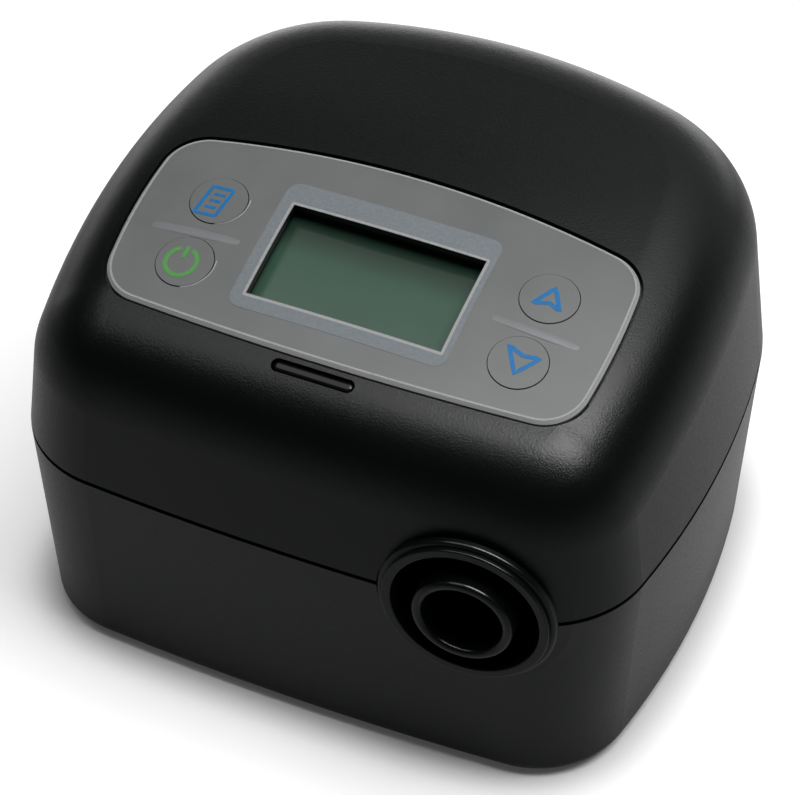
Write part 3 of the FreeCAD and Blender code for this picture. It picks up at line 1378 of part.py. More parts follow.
def transformer():
    core_y = "power_y+power_length/2-16"
    body = new_body("transformer_core")
    section = new_sketch(body, "core_section", "XZ_Plane", f"-({core_y})-7")
    mid = f"{POWER_TOP}+core_height/2"
    draw_loop(section, rectangle("power_x", mid, "core_width", "core_height"))
    for side in (-1, 1):
        draw_loop(section, rectangle(f"power_x+{side}*core_width/4", mid, "core_width/4", "core_height/2"))
    pad(body, section, "14")
    coil = new_body("transformer_coil")
    winding = new_sketch(coil, "coil_section", lift=f"{mid}-core_height/4+0.3")
    draw_rounded_box(winding, "power_x", core_y, "core_width*3/4-0.6", "14+core_width/2-2", "2.5")
    draw_loop(winding, rectangle("power_x", core_y, "core_width/4+0.4", "14.4"))
    pad(coil, winding, "core_height/2-0.6")
    node(body, "transformer_core")
    node(coil, "transformer_winding")


def capacitors():
    cans = []
    for i, side in enumerate((-1, 1)):
        profile = [("0", "0"), ("capacitor_radius", "0"), ("capacitor_radius", "2"), ("capacitor_radius-0.5", "2.6"),
                   ("capacitor_radius", "3.2"), ("capacitor_radius", "capacitor_height-0.8"),
                   ("capacitor_radius-0.8", "capacitor_height"), ("0", "capacitor_height")]
        can = turned(f"capacitor_{i}", profile)
        cans.append(place(can, (f"power_x+{side}*(capacitor_radius+1.5)", "capacitor_y", POWER_TOP)))
    node(grouped("capacitor_pair", cans), "capacitors")


def heat_sink():
    """Finned extrusion that stands on the power board."""
    body = new_body("heat_sink_fins")
    base = new_sketch(body, "sink_base", lift=POWER_TOP)
    draw_loop(base, rectangle("power_x", "sink_y", "power_width-6", "2.5"))
    pad(body, base, "sink_height")
    fin = new_sketch(body, "sink_fin", lift=POWER_TOP)
    draw_loop(fin, rectangle("power_x-(power_width-6)/2+0.8", "sink_y+2.5", "1.6", "5"))
    first = pad(body, fin, "sink_height")
    pattern = body.newObject("PartDesign::LinearPattern", "fin_row")
    pattern.Originals = [first]
    pattern.Direction = (fin, ["H_Axis"])
    bind(pattern, Length="power_width-7.6", Occurrences="sink_fins")
    body.Tip = pattern
    doc.recompute()
    node(body, "heat_sink")


def display_ribbon():
    """Flat cable between a socket on the power board and one under the display board."""
    x = "power_x+8"
    top = f"{WINDOW_Z}+({BOARD_TOP}-board_thickness-3)*cos({TILT})+(ribbon_y-({WINDOW_Y}))*tan({TILT})"
    strip = box("ribbon_strip", ("ribbon_width", "ribbon_thickness", f"{top}-{POWER_TOP}-2"),
                (x, "ribbon_y", f"{POWER_TOP}+2"))
    node(strip, "display_ribbon")
    low = box("socket_low", ("ribbon_width+4", "4", "4"), (x, "ribbon_y", POWER_TOP))
    slot = box("socket_slot", ("ribbon_width+0.4", "ribbon_thickness+0.2", "3"), (x, "ribbon_y", f"{POWER_TOP}+2"))
    node(cut("socket_low_cut", low, slot), "ribbon_socket")
    high = box("socket_high", ("ribbon_width+4", "4", "3.2"), ORIGIN)
    v = f"(ribbon_y-{WINDOW_Y})/cos({TILT})+({BOARD_TOP}-board_thickness)*tan({TILT})"
    place_on_panel(high, f"{x}-ribbon_width/2-2", f"{v}-2", f"{BOARD_TOP}-board_thickness-3.2")
    high_slot = box("socket_high_slot", ("ribbon_width+0.4", "ribbon_thickness+0.3", "12"),
                    (x, "ribbon_y", f"{top}-5"))
    node(cut("socket_high_cut", high, high_slot), "display_socket")


# ---- build --------------------------------------------------------------------------------------

def check_document():
    for item in doc.Objects:
        if "Invalid" in item.State or "Error" in item.State:
            raise RuntimeError(f"{item.Name} did not compute: {item.State}")
    for piece in nodes:
        if piece.Shape.isNull() or not piece.Shape.isValid() or not piece.Shape.Solids:
            raise RuntimeError(f"{piece.Label} has no valid solid")


def build():
    fill_sheet()
    outer_upper = upper_block("upper_outer", "0")
    round_face(outer_upper, crown_edges(outer_upper.Shape), "top_round")
    outer_lower = lower_form("lower_outer", "0", "foot_height")
    round_face(outer_lower, lowest_face(outer_lower.Shape), "base_round")
    upper_housing(outer_upper)
    lower_housing(outer_lower)
    feet()
    housing_screws()
    control_panel()
    buttons()
    switches()
    display()
    display_board()
    indicator_lens()
    outlet_collar()
    outlet_tube()
    outlet_boot()
    blower_case()
    blower_cover()
    impeller()
    rotor()
    motor()
    blower_mounts()
    muffler_foam()
    filter_cover(outer_lower)
    filter_stack()
    power_inlet()
    power_board()
    transformer()
    capacitors()
    heat_sink()
    display_ribbon()
    doc.recompute()
    check_document()
    os.makedirs("parts", exist_ok=True)
    for piece in nodes:
        piece.Shape.exportStep(f"parts/{piece.Label}.step")
        print(piece.Label, len(piece.Shape.Solids), round(piece.Shape.Volume, 1))


build()
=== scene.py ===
import json
import math
import bmesh
import bpy
from mathutils import Matrix, Vector


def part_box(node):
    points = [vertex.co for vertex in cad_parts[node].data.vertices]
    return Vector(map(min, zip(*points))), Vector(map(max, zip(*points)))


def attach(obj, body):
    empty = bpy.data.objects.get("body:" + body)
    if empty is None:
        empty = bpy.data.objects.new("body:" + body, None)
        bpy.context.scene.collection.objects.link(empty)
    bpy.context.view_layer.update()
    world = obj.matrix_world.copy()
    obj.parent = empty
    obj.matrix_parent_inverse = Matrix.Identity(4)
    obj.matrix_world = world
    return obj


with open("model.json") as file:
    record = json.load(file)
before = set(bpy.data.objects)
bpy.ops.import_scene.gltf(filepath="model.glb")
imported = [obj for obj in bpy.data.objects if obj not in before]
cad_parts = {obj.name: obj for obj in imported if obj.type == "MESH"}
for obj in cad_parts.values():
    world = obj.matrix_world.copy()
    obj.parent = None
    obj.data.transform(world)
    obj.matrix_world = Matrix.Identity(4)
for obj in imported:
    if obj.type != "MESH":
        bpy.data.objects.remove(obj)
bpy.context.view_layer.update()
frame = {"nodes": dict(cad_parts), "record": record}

NODES = frame["nodes"]
BUTTONS = ("menu_button", "power_button", "up_button", "down_button")

# Lengths are in metres and angles in degrees. x runs to the right, y to the back, z up from the table.

# The housing's crown: an arc that falls to the front, swept round a wide arc from side to side.
CROWN_TOP = 0.1022
CROWN_RADIUS = 0.2366
CROWN_SIDE_RADIUS = 0.797
CROWN_PEAK_Y = 0.0225

# How far the tops of the panel and of its buttons stand above the crown, and a print's thickness.
PANEL_LIFT = 0.00015
BUTTON_LIFT = 0.00035
PRINT_THICKNESS = 0.00004

# Colours, as linear red, green and blue.
BLACK = (0.0014, 0.0023, 0.0021)
PANEL_GREY = (0.122, 0.129, 0.127)
# The raised ridges' grey, paler than the panel as a painted highlight.
RIDGE_HIGHLIGHT_GREY = (0.160, 0.166, 0.174)
BAND_GREY = (0.158, 0.178, 0.192)
# A pale grey for painted highlights: the panel's bevel and edge, the window's rim and the arcs by the left
# buttons.
HIGHLIGHT_GREY = (0.300, 0.303, 0.306)
ICON_BLUE = (0.004, 0.135, 0.360)
ICON_GREEN = (0.075, 0.270, 0.060)
CRYSTAL = (0.034, 0.077, 0.052)

# The range that most of a noise's values lie in.
NOISE_RANGE = (0.3, 0.7)

# Moulded plastic: clouds that change its colour by this share either way, and the change of its
# roughness from the smoothest to the roughest of its grain.
CLOUD_SCALE = 45.0
CLOUD_CHANGE = 0.10
GRAIN_ROUGHNESS = (-0.05, 0.06)

# The shell's walls are dull, and a sheen grows on it as its surface turns up. The rise of a surface
# is 1 where it faces straight up and 0 on an upright wall.
WALL_ROUGHNESS = 0.42
WALL_SPECULAR = 0.08
SHEEN_START = 0.60
SHEEN_FULL = 0.91

# The satin of the panel, its buttons and its ridges.
SATIN = {"roughness": 0.40, "specular": 0.50, "grain": 3200.0, "relief": 0.000006}

# The window in the panel and the pale band printed round it, as left, right, front and back. The rim
# between them, painted pale as a highlight on the window's edge, has a hole that clears the window.
WINDOW = (-0.0220, 0.0220, -0.0367, -0.0128)
BAND = (-0.0252, 0.0240, -0.0403, -0.0068)
WINDOW_CLEARANCE = 0.0001
RIM_WIDTH = 0.0006
HOLE_CORNER = 0.0001
RIM_CORNER = 0.0005
BAND_CORNER = 0.0028

# A face of the panel is part of its bevelled edge, painted pale as a highlight, if its rise is in the
# bevel's range, and of its top if it is above the top's. Below the wall's and within reach of the window,
# it is a wall of the window, painted black as shade.
BEVEL_RISE = (0.35, 0.93)
TOP_RISE = 0.94
WALL_RISE = 0.5
WALL_REACH = 0.0012

# The painted shade on the display, standing in for the shadow of the window's deep back wall: how far
# in front of the window's back edge it starts and is full, and the share of the colour that it leaves.
SHADE_START = 0.0095
SHADE_FULL = 0.0010
SHADE_TONE = 0.42

# The panel's edge, painted pale as a highlight, and how far inside the outline it runs. Inwards is towards
# the panel's middle, with only this share of the sideways part.
PANEL_RIM_WIDTH = 0.00045
PANEL_RIM_INSET = 0.0003
INWARD_SIDE_SHARE = 0.55

# Painted highlights: pale printed arcs round the front right of the two left buttons, where their edges
# would catch the light.
GLINT_RADIUS = 0.00665
GLINT_WIDTH = 0.00028
GLINT_TURN = (-75, 15)
GLINT_STEPS = 24

# The bars between the buttons. Their feet sink into the panel, and they narrow to a share of their
# width at the ends, the later the smaller the taper is.
RIDGES = (
    ("left_ridge", (-0.0492, -0.0264), (-0.0284, -0.0256)),
    ("right_ridge", (0.0282, -0.0252), (0.0484, -0.0258)),
)
RIDGE_WIDTH = 0.0022
RIDGE_HEIGHT = 0.00024
RIDGE_SINK = 0.00006
RIDGE_END_SHARE = 0.55
RIDGE_TAPER = 0.6
RIDGE_STEPS = 36
RIDGE_STEPS_ACROSS = 8

# The signs on the buttons, seen from above: two arrows, a page with lines, and a ring with a bar,
# which starts and ends this far behind the ring's centre.
UP_ARROW = ((0.0350, -0.0191), (0.0380, -0.0139), (0.0409, -0.0190), (0.0382, -0.0179))
DOWN_ARROW = ((0.0345, -0.0304), (0.0381, -0.0318), (0.0417, -0.0312), (0.0380, -0.0362))
ARROW_STROKE = 0.00095
PAGE = ((-0.0417, -0.0211), (-0.0368, -0.0209), (-0.0358, -0.0135), (-0.0406, -0.0136))
PAGE_STROKE = 0.0008
LINE_COUNT = 3
LINE_FIRST = (-0.0382, -0.0154)
LINE_STEP = (-0.0003, -0.0018)
LINE_HALF_LENGTH = 0.0013
LINE_STROKE = 0.0007
POWER_CENTRE = (-0.0385, -0.0338)
POWER_RADIUS = 0.0034
POWER_TURN = (112, 428)
POWER_STEPS = 48
POWER_BAR = (0.0011, 0.0039)
POWER_STROKE = 0.0009

# The camera that saw the object.
CAMERA_PLACE = (0.21868, -0.49759, 0.57921)
CAMERA_AZIMUTH = 24.06
CAMERA_ELEVATION = 44.81
CAMERA_ROLL = -0.26
LENS = 153.81
SENSOR_WIDTH = 36.0

# Lamps: name, centre, width and depth, tilt away from shining straight down, and brightness as it
# is mirrored.
SOFTBOXES = (
    ("key", (0.34, -0.01, 1.00), (0.78, 0.42), 0.0, 8.8),
    ("back_skirt", (0.45, 0.52, 1.00), (1.10, 0.64), 0.0, 1.45),
    ("left_skirt", (-0.38, -0.054, 1.05), (0.60, 0.812), 0.0, 1.35),
    ("far_wall", (-0.20, 1.60, 0.75), (3.20, 1.40), -90.0, 0.26),
)
WORLD_LEVEL = 0.045

# The floor. Its glow grows with the distance from the object. Within the contact's reach of the object it
# falls to the contact's glow, where no more than this share of the sky is open: a painted contact shadow.
FLOOR_HALF_SIZE = 20.0
FLOOR_TONE = 0.74
FLOOR_GRAIN = 0.005
GLOW_DISTANCES = (0.4, 2.0)
GLOW_LEVELS = (0.43, 0.95)
CONTACT_REACH = 0.012
CONTACT_SHARE = 0.45
CONTACT_GLOW = 0.10
CONTACT_SAMPLES = 8


# ---- materials --------------------------------------------------------------------------------

def new_material(name):
    material = bpy.data.materials.new(name)
    material.use_nodes = True
    tree = material.node_tree
    return material, tree, tree.nodes["Principled BSDF"]


def scaled(colour, factor):
    return tuple(channel * factor for channel in colour)


def grown(limits, margin):
    """A rectangle's limits with a margin added all round."""
    x0, x1, y0, y1 = limits
    return x0 - margin, x1 + margin, y0 - margin, y1 + margin


def object_coordinates(tree):
    return tree.nodes.new("ShaderNodeTexCoord").outputs["Object"]


def axes_of(tree, vector):
    """The X, Y and Z of a vector."""
    node = tree.nodes.new("ShaderNodeSeparateXYZ")
    tree.links.new(vector, node.inputs[0])
    return node.outputs


def noise(tree, coordinates, scale, detail=2.0, roughness=0.5):
    node = tree.nodes.new("ShaderNodeTexNoise")
    node.inputs["Scale"].default_value = scale
    node.inputs["Detail"].default_value = detail
    node.inputs["Roughness"].default_value = roughness
    tree.links.new(coordinates, node.inputs["Vector"])
    return node.outputs["Fac"]


def mapped(tree, value, source, target, curve="LINEAR"):
    """Maps a value from one range to another, and keeps it inside."""
    node = tree.nodes.new("ShaderNodeMapRange")
    node.interpolation_type = curve
    node.inputs["From Min"].default_value = source[0]
    node.inputs["From Max"].default_value = source[1]
    node.inputs["To Min"].default_value = target[0]
    node.inputs["To Max"].default_value = target[1]
    tree.links.new(value, node.inputs["Value"])
    return node.outputs["Result"]


def spread(tree, value, low, high):
    """Maps a noise value to a range."""
    return mapped(tree, value, NOISE_RANGE, (low, high))


def mixed(tree, factor, first, second):
    """Mixes two colours, each given as numbers or as a socket."""
    node = tree.nodes.new("ShaderNodeMix")
    node.data_type = "RGBA"
    tree.links.new(factor, node.inputs["Factor"])
    for name, colour in (("A", first), ("B", second)):
        if isinstance(colour, tuple):
            node.inputs[name].default_value = (*colour, 1.0)
        else:
            tree.links.new(colour, node.inputs[name])
    return node.outputs["Result"]


def tint(tree, value, dark, light):
    """Mixes two colours by a noise value."""
    return mixed(tree, spread(tree, value, 0.0, 1.0), dark, light)


def bump(tree, height, distance):
    node = tree.nodes.new("ShaderNodeBump")
    node.inputs["Strength"].default_value = 1.0
    node.inputs["Distance"].default_value = distance
    tree.links.new(height, node.inputs["Height"])
    return node.outputs["Normal"]


def calculate(tree, operation, first, second):
    """Math node of two sockets or numbers."""
    node = tree.nodes.new("ShaderNodeMath")
    node.operation = operation
    for i, value in enumerate((first, second)):
        if isinstance(value, (int, float)):
            node.inputs[i].default_value = value
        else:
            tree.links.new(value, node.inputs[i])
    return node.outputs["Value"]


def between(tree, value, low, high):
    """1 where a value lies between two limits, 0 elsewhere."""
    above = calculate(tree, "GREATER_THAN", value, low)
    below = calculate(tree, "LESS_THAN", value, high)
    return calculate(tree, "MULTIPLY", above, below)


def mould(tree, shader, colour, roughness, specular, grain, relief):
    """Spark-eroded grain, which also varies the gloss, and clouds of tone. Returns grain and tone."""
    where = object_coordinates(tree)
    fine = noise(tree, where, scale=grain, detail=3.0, roughness=0.6)
    cloud = noise(tree, where, scale=CLOUD_SCALE, detail=3.0)
    tone = tint(tree, cloud, scaled(colour, 1 - CLOUD_CHANGE), scaled(colour, 1 + CLOUD_CHANGE))
    tree.links.new(tone, shader.inputs["Base Color"])
    smooth, rough = roughness + GRAIN_ROUGHNESS[0], roughness + GRAIN_ROUGHNESS[1]
    tree.links.new(spread(tree, fine, smooth, rough), shader.inputs["Roughness"])
    tree.links.new(bump(tree, fine, relief), shader.inputs["Normal"])
    shader.inputs["Specular IOR Level"].default_value = specular
    return fine, tone


def moulded(name, colour, roughness, specular, grain=2600.0, relief=0.00002):
    """Moulded plastic."""
    material, tree, shader = new_material(name)
    mould(tree, shader, colour, roughness, specular, grain, relief)
    return material


def crowned_black(name, grain, relief, sheen_relief, sheen_roughness, sheen_index):
    """The housing's black: dull moulded walls, and a satin sheen where the surface faces up."""
    material, tree, shader = new_material(name)
    fine, _ = mould(tree, shader, BLACK, WALL_ROUGHNESS, WALL_SPECULAR, grain, relief)
    rise = axes_of(tree, tree.nodes.new("ShaderNodeNewGeometry").outputs["Normal"])["Z"]
    sheen = mapped(tree, rise, (SHEEN_START, SHEEN_FULL), (0.0, 1.0), "SMOOTHSTEP")
    tree.links.new(sheen, shader.inputs["Coat Weight"])
    tree.links.new(bump(tree, fine, sheen_relief), shader.inputs["Coat Normal"])
    shader.inputs["Coat Roughness"].default_value = sheen_roughness
    shader.inputs["Coat IOR"].default_value = sheen_index
    return material


def overlay_grey():
    """The control panel's grey: satin film, its bevelled edge painted pale as a highlight and its window's
    walls painted black as shade.
    """
    material, tree, shader = new_material("panel_grey")
    _, tone = mould(tree, shader, PANEL_GREY, **SATIN)
    place = axes_of(tree, object_coordinates(tree))
    rise = axes_of(tree, tree.nodes.new("ShaderNodeNewGeometry").outputs["True Normal"])["Z"]
    x0, x1, y0, y1 = grown(WINDOW, WALL_REACH)
    across = between(tree, place["X"], x0, x1)
    along = between(tree, place["Y"], y0, y1)
    window = calculate(tree, "MULTIPLY", across, along)
    # Painted shade: the walls of the window are painted black.
    wall = calculate(tree, "MULTIPLY", window, calculate(tree, "LESS_THAN", rise, WALL_RISE))
    # Painted highlight: the bevelled edge is painted pale.
    tone = mixed(tree, between(tree, rise, *BEVEL_RISE), tone, HIGHLIGHT_GREY)
    tone = mixed(tree, wall, tone, BLACK)
    tree.links.new(tone, shader.inputs["Base Color"])
    return material


def metal(name, colour, roughness, stretch=(1.0, 1.0, 12.0)):
    """Drawn or turned metal: noise stretched across the grain."""
    material, tree, shader = new_material(name)
    mapping = tree.nodes.new("ShaderNodeMapping")
    mapping.inputs["Scale"].default_value = stretch
    tree.links.new(object_coordinates(tree), mapping.inputs["Vector"])
    lines = noise(tree, mapping.outputs["Vector"], scale=900.0)
    tree.links.new(tint(tree, lines, scaled(colour, 0.85), colour), shader.inputs["Base Color"])
    tree.links.new(spread(tree, lines, roughness, roughness + 0.15), shader.inputs["Roughness"])
    shader.inputs["Metallic"].default_value = 1.0
    return material


def foam(name, colour):
    """Open-celled foam with relief, its hollows painted darker as shade."""
    material, tree, shader = new_material(name)
    cells = tree.nodes.new("ShaderNodeTexVoronoi")
    cells.inputs["Scale"].default_value = 1100.0
    tree.links.new(object_coordinates(tree), cells.inputs["Vector"])
    height = cells.outputs["Distance"]
    # Painted shade: the lower the foam's surface, the darker its colour.
    tree.links.new(tint(tree, height, scaled(colour, 0.4), colour), shader.inputs["Base Color"])
    tree.links.new(bump(tree, height, distance=0.0004), shader.inputs["Normal"])
    shader.inputs["Roughness"].default_value = 0.95
    return material


def circuit_board(name, colour):
    """Solder mask over copper: blocks of slightly different green."""
    material, tree, shader = new_material(name)
    tracks = tree.nodes.new("ShaderNodeTexVoronoi")
    tracks.distance = "MANHATTAN"
    tracks.inputs["Scale"].default_value = 260.0
    tree.links.new(object_coordinates(tree), tracks.inputs["Vector"])
    tone = tint(tree, tracks.outputs["Distance"], scaled(colour, 0.7), scaled(colour, 1.3))
    tree.links.new(tone, shader.inputs["Base Color"])
    shader.inputs["Roughness"].default_value = 0.35
    return material


def liquid_crystal():
    """The blank display under its clear cover: grey-green film, with painted shade towards the deep back
    edge.
    """
    material, tree, shader = new_material("liquid_crystal")
    where = object_coordinates(tree)
    cloud = noise(tree, where, scale=70.0)
    film = tint(tree, cloud, scaled(CRYSTAL, 0.94), scaled(CRYSTAL, 1.06))
    # Painted shade: the film darkens towards the window's back edge, where the wall's shadow falls.
    back = WINDOW[3]
    shade_range = (back - SHADE_START, back - SHADE_FULL)
    shade = mapped(tree, axes_of(tree, where)["Y"], shade_range, (0.0, 1.0), "SMOOTHSTEP")
    tree.links.new(mixed(tree, shade, film, scaled(CRYSTAL, SHADE_TONE)), shader.inputs["Base Color"])
    tree.links.new(spread(tree, cloud, 0.30, 0.36), shader.inputs["Roughness"])
    shader.inputs["Specular IOR Level"].default_value = 0.0
    shader.inputs["Coat Weight"].default_value = 1.0
    shader.inputs["Coat Roughness"].default_value = 0.17
    shader.inputs["Coat IOR"].default_value = 1.5
    return material


def printed(name, colour):
    """Screen-printed ink: a thin, slightly uneven film."""
    material, tree, shader = new_material(name)
    film = noise(tree, object_coordinates(tree), scale=1500.0)
    tone = tint(tree, film, scaled(colour, 0.9), scaled(colour, 1.08))
    tree.links.new(tone, shader.inputs["Base Color"])
    tree.links.new(spread(tree, film, 0.42, 0.55), shader.inputs["Roughness"])
    shader.inputs["Specular IOR Level"].default_value = 0.3
    return material


MATERIALS = {
    "housing_black": crowned_black("housing_black", grain=2200.0, relief=0.00004, sheen_relief=0.00007,
                                   sheen_roughness=0.25, sheen_index=1.38),
    "panel_grey": overlay_grey(),
    "lens_smoke": moulded("lens_smoke", (0.003, 0.003, 0.003), roughness=0.20, specular=0.35,
                          grain=900.0, relief=0.000002),
    "collar_black": crowned_black("collar_black", grain=2600.0, relief=0.00002, sheen_relief=0.00002,
                                  sheen_roughness=0.16, sheen_index=1.50),
    "display_glass": liquid_crystal(),
    "backlight_white": moulded("backlight_white", (0.70, 0.72, 0.70), roughness=0.5, specular=0.4),
    "frame_black": moulded("frame_black", (0.012, 0.012, 0.012), roughness=0.5, specular=0.2),
    "board_green": circuit_board("board_green", (0.015, 0.12, 0.05)),
    "steel": metal("steel", (0.56, 0.56, 0.57), roughness=0.28),
    "brass": metal("brass", (0.75, 0.55, 0.28), roughness=0.25),
    "copper_winding": metal("copper_winding", (0.72, 0.32, 0.16), roughness=0.35,
                            stretch=(1.0, 1.0, 30.0)),
    "ferrite": moulded("ferrite", (0.035, 0.035, 0.038), roughness=0.65, specular=0.4),
    "aluminium": metal("aluminium", (0.78, 0.79, 0.80), roughness=0.35),
    "case_grey": moulded("case_grey", (0.20, 0.21, 0.22), roughness=0.5, specular=0.4),
    "impeller_white": moulded("impeller_white", (0.62, 0.62, 0.60), roughness=0.45, specular=0.4),
    "rubber_black": moulded("rubber_black", (0.016, 0.016, 0.016), roughness=0.75, specular=0.25,
                            grain=1500.0),
    "foam_grey": foam("foam_grey", (0.16, 0.16, 0.17)),
    "socket_white": moulded("socket_white", (0.62, 0.60, 0.54), roughness=0.5, specular=0.4),
    "capacitor_black": moulded("capacitor_black", (0.02, 0.02, 0.028), roughness=0.3, specular=0.5),
    "button_grey": moulded("button_grey", PANEL_GREY, **SATIN),
}


def finish_nodes():
    """Gives every CAD node the material of its slot, and the buttons a grey without the panel's painted
    highlight and shade.
    """
    for part in frame["record"]["subparts"]:
        node = NODES[part["node"]]
        name = "button_grey" if part["node"] in BUTTONS else part["material_slot"]
        node.data.materials.clear()
        node.data.materials.append(MATERIALS[name])


# ---- prints and ridges on the panel -----------------------------------------------------------

def crown_height(x, y):
    """Height of the crown above the table at a place seen from above."""
    fall = CROWN_RADIUS - math.sqrt(CROWN_RADIUS ** 2 - min(y - CROWN_PEAK_Y, 0.0) ** 2)
    return CROWN_TOP - CROWN_SIDE_RADIUS + math.sqrt((CROWN_SIDE_RADIUS - fall) ** 2 - x ** 2)


def on_crown(x, y, lift):
    return Vector((x, y, crown_height(x, y) + lift))


def straight(start, end, steps=6):
    """Points of a straight line."""
    return [(start[0] + (end[0] - start[0]) * i / steps, start[1] + (end[1] - start[1]) * i / steps)
            for i in range(steps + 1)]


def arc(centre, radius, start, end, steps):
    """Points of an arc."""
    points = []
    for i in range(steps + 1):
        angle = math.radians(start + (end - start) * i / steps)
        points.append((centre[0] + radius * math.cos(angle), centre[1] + radius * math.sin(angle)))
    return points


def outline(corners):
    """Points round a shape with sharp corners."""
    points = []
    for i, corner in enumerate(corners):
        points += straight(corner, corners[(i + 1) % len(corners)])[:-1]
    return points


def rounded_rectangle(limits, radius, steps=6, cuts=12):
    """Points round a rounded rectangle, with the same number for every size."""
    x0, x1, y0, y1 = limits
    centres = ((x1 - radius, y1 - radius), (x0 + radius, y1 - radius), (x0 + radius, y0 + radius),
               (x1 - radius, y0 + radius))
    points = []
    for i, centre in enumerate(centres):
        corner = arc(centre, radius, 90 * i, 90 * (i + 1), steps)
        following = arc(centres[(i + 1) % 4], radius, 90 * (i + 1), 90 * (i + 2), steps)
        points += corner
        points += straight(corner[-1], following[0], cuts)[1:-1]
    return points


def add_piece(name, mesh, material, body):
    """Makes a piece of an open mesh, gives it a print's thickness and lets it ride on a body."""
    bmesh.ops.recalc_face_normals(mesh, faces=mesh.faces)
    data = bpy.data.meshes.new(name)
    mesh.to_mesh(data)
    mesh.free()
    piece = bpy.data.objects.new(name, data)
    bpy.context.scene.collection.objects.link(piece)
    data.materials.append(material)
    film = piece.modifiers.new("film", "SOLIDIFY")
    film.thickness = PRINT_THICKNESS
    film.offset = 0.0
    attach(piece, body)
    return piece


def ribbon(name, path, width, lift, material, body, closed=False):
    """A printed stroke along a path of x, y places, laid on the crown."""
    mesh = bmesh.new()
    count = len(path)
    rows = []
    for i, (x, y) in enumerate(path):
        before = path[(i - 1) % count] if closed or i else path[i]
        after = path[(i + 1) % count] if closed or i < count - 1 else path[i]
        along = Vector((after[0] - before[0], after[1] - before[1])).normalized()
        side = Vector((-along.y, along.x)) * width / 2
        row = []
        for sign in (-1, 1):
            place = on_crown(x + sign * side.x, y + sign * side.y, lift)
            row.append(mesh.verts.new(place))
        rows.append(row)
    for i in range(count if closed else count - 1):
        (a, b), (c, d) = rows[i], rows[(i + 1) % count]
        mesh.faces.new((a, c, d, b))
    return add_piece(name, mesh, material, body)


def band(name, outer, inner, lift, material, body):
    """A printed area between two closed paths with as many points each."""
    mesh = bmesh.new()
    loops = [[mesh.verts.new(on_crown(x, y, lift)) for x, y in path] for path in (outer, inner)]
    count = len(outer)
    for i in range(count):
        j = (i + 1) % count
        mesh.faces.new((loops[0][i], loops[0][j], loops[1][j], loops[1][i]))
    return add_piece(name, mesh, material, body)


def ridge(name, start, end, material, body):
    """A moulded bar with a rounded back that sinks into the panel at its ends and sides."""
    mesh = bmesh.new()
    rows = []
    for i, (x, y) in enumerate(straight(start, end, RIDGE_STEPS)):
        swell = math.sin(math.pi * i / RIDGE_STEPS) ** RIDGE_TAPER
        half_width = RIDGE_WIDTH / 2 * (RIDGE_END_SHARE + (1 - RIDGE_END_SHARE) * swell)
        row = []
        for j in range(RIDGE_STEPS_ACROSS + 1):
            turn = math.pi * j / RIDGE_STEPS_ACROSS
            place = on_crown(x, y + half_width * math.cos(turn), 0.0)
            place.z += PANEL_LIFT - RIDGE_SINK + RIDGE_HEIGHT * swell * math.sin(turn)
            row.append(mesh.verts.new(place))
        rows.append(row)
    for row, following in zip(rows, rows[1:]):
        for j in range(RIDGE_STEPS_ACROSS):
            mesh.faces.new((row[j], following[j], following[j + 1], row[j + 1]))
    piece = add_piece(name, mesh, material, body)
    for face in piece.data.polygons:
        face.use_smooth = True
    return piece


def button_prints():
    """The signs on the four buttons, which travel with them."""
    blue = printed("icon_blue", ICON_BLUE)
    green = printed("icon_green", ICON_GREEN)
    lift = BUTTON_LIFT + PRINT_THICKNESS
    ribbon("up_icon", outline(UP_ARROW), ARROW_STROKE, lift, blue, "up_key", closed=True)
    ribbon("down_icon", outline(DOWN_ARROW), ARROW_STROKE, lift, blue, "down_key", closed=True)
    ribbon("menu_icon_page", outline(PAGE), PAGE_STROKE, lift, blue, "menu_key", closed=True)
    for i in range(LINE_COUNT):
        x = LINE_FIRST[0] + LINE_STEP[0] * i
        y = LINE_FIRST[1] + LINE_STEP[1] * i
        line = straight((x - LINE_HALF_LENGTH, y), (x + LINE_HALF_LENGTH, y))
        ribbon(f"menu_icon_line_{i}", line, LINE_STROKE, lift, blue, "menu_key")
    ring = arc(POWER_CENTRE, POWER_RADIUS, *POWER_TURN, POWER_STEPS)
    ribbon("power_icon_ring", ring, POWER_STROKE, lift, green, "power_key")
    x, y = POWER_CENTRE
    bar = straight((x, y + POWER_BAR[0]), (x, y + POWER_BAR[1]))
    ribbon("power_icon_bar", bar, POWER_STROKE, lift, green, "power_key")


def button_centre(name):
    low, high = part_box(f"{name}_button")
    return ((low.x + high.x) / 2, (low.y + high.y) / 2)


def panel_outline():
    """Outer edge of the control panel's top, read from its mesh and drawn in a little."""
    data = NODES["control_panel"].data
    users = {}
    for face in data.polygons:
        if face.normal.z > TOP_RISE:
            for key in face.edge_keys:
                users[key] = users.get(key, 0) + 1
    following = {}
    for (a, b), count in users.items():
        if count == 1:
            following.setdefault(a, []).append(b)
            following.setdefault(b, []).append(a)
    start = max(following, key=lambda i: data.vertices[i].co.x)
    loop, before, here = [start], None, start
    while True:
        step = [i for i in following[here] if i != before][0]
        if step == start:
            break
        loop.append(step)
        before, here = here, step
    places = [data.vertices[i].co for i in loop]
    centre_y = sum(place.y for place in places) / len(places)
    path = []
    for place in places:
        inward = Vector((-place.x * INWARD_SIDE_SHARE, centre_y - place.y)).normalized() * PANEL_RIM_INSET
        path.append((place.x + inward.x, place.y + inward.y))
    return path


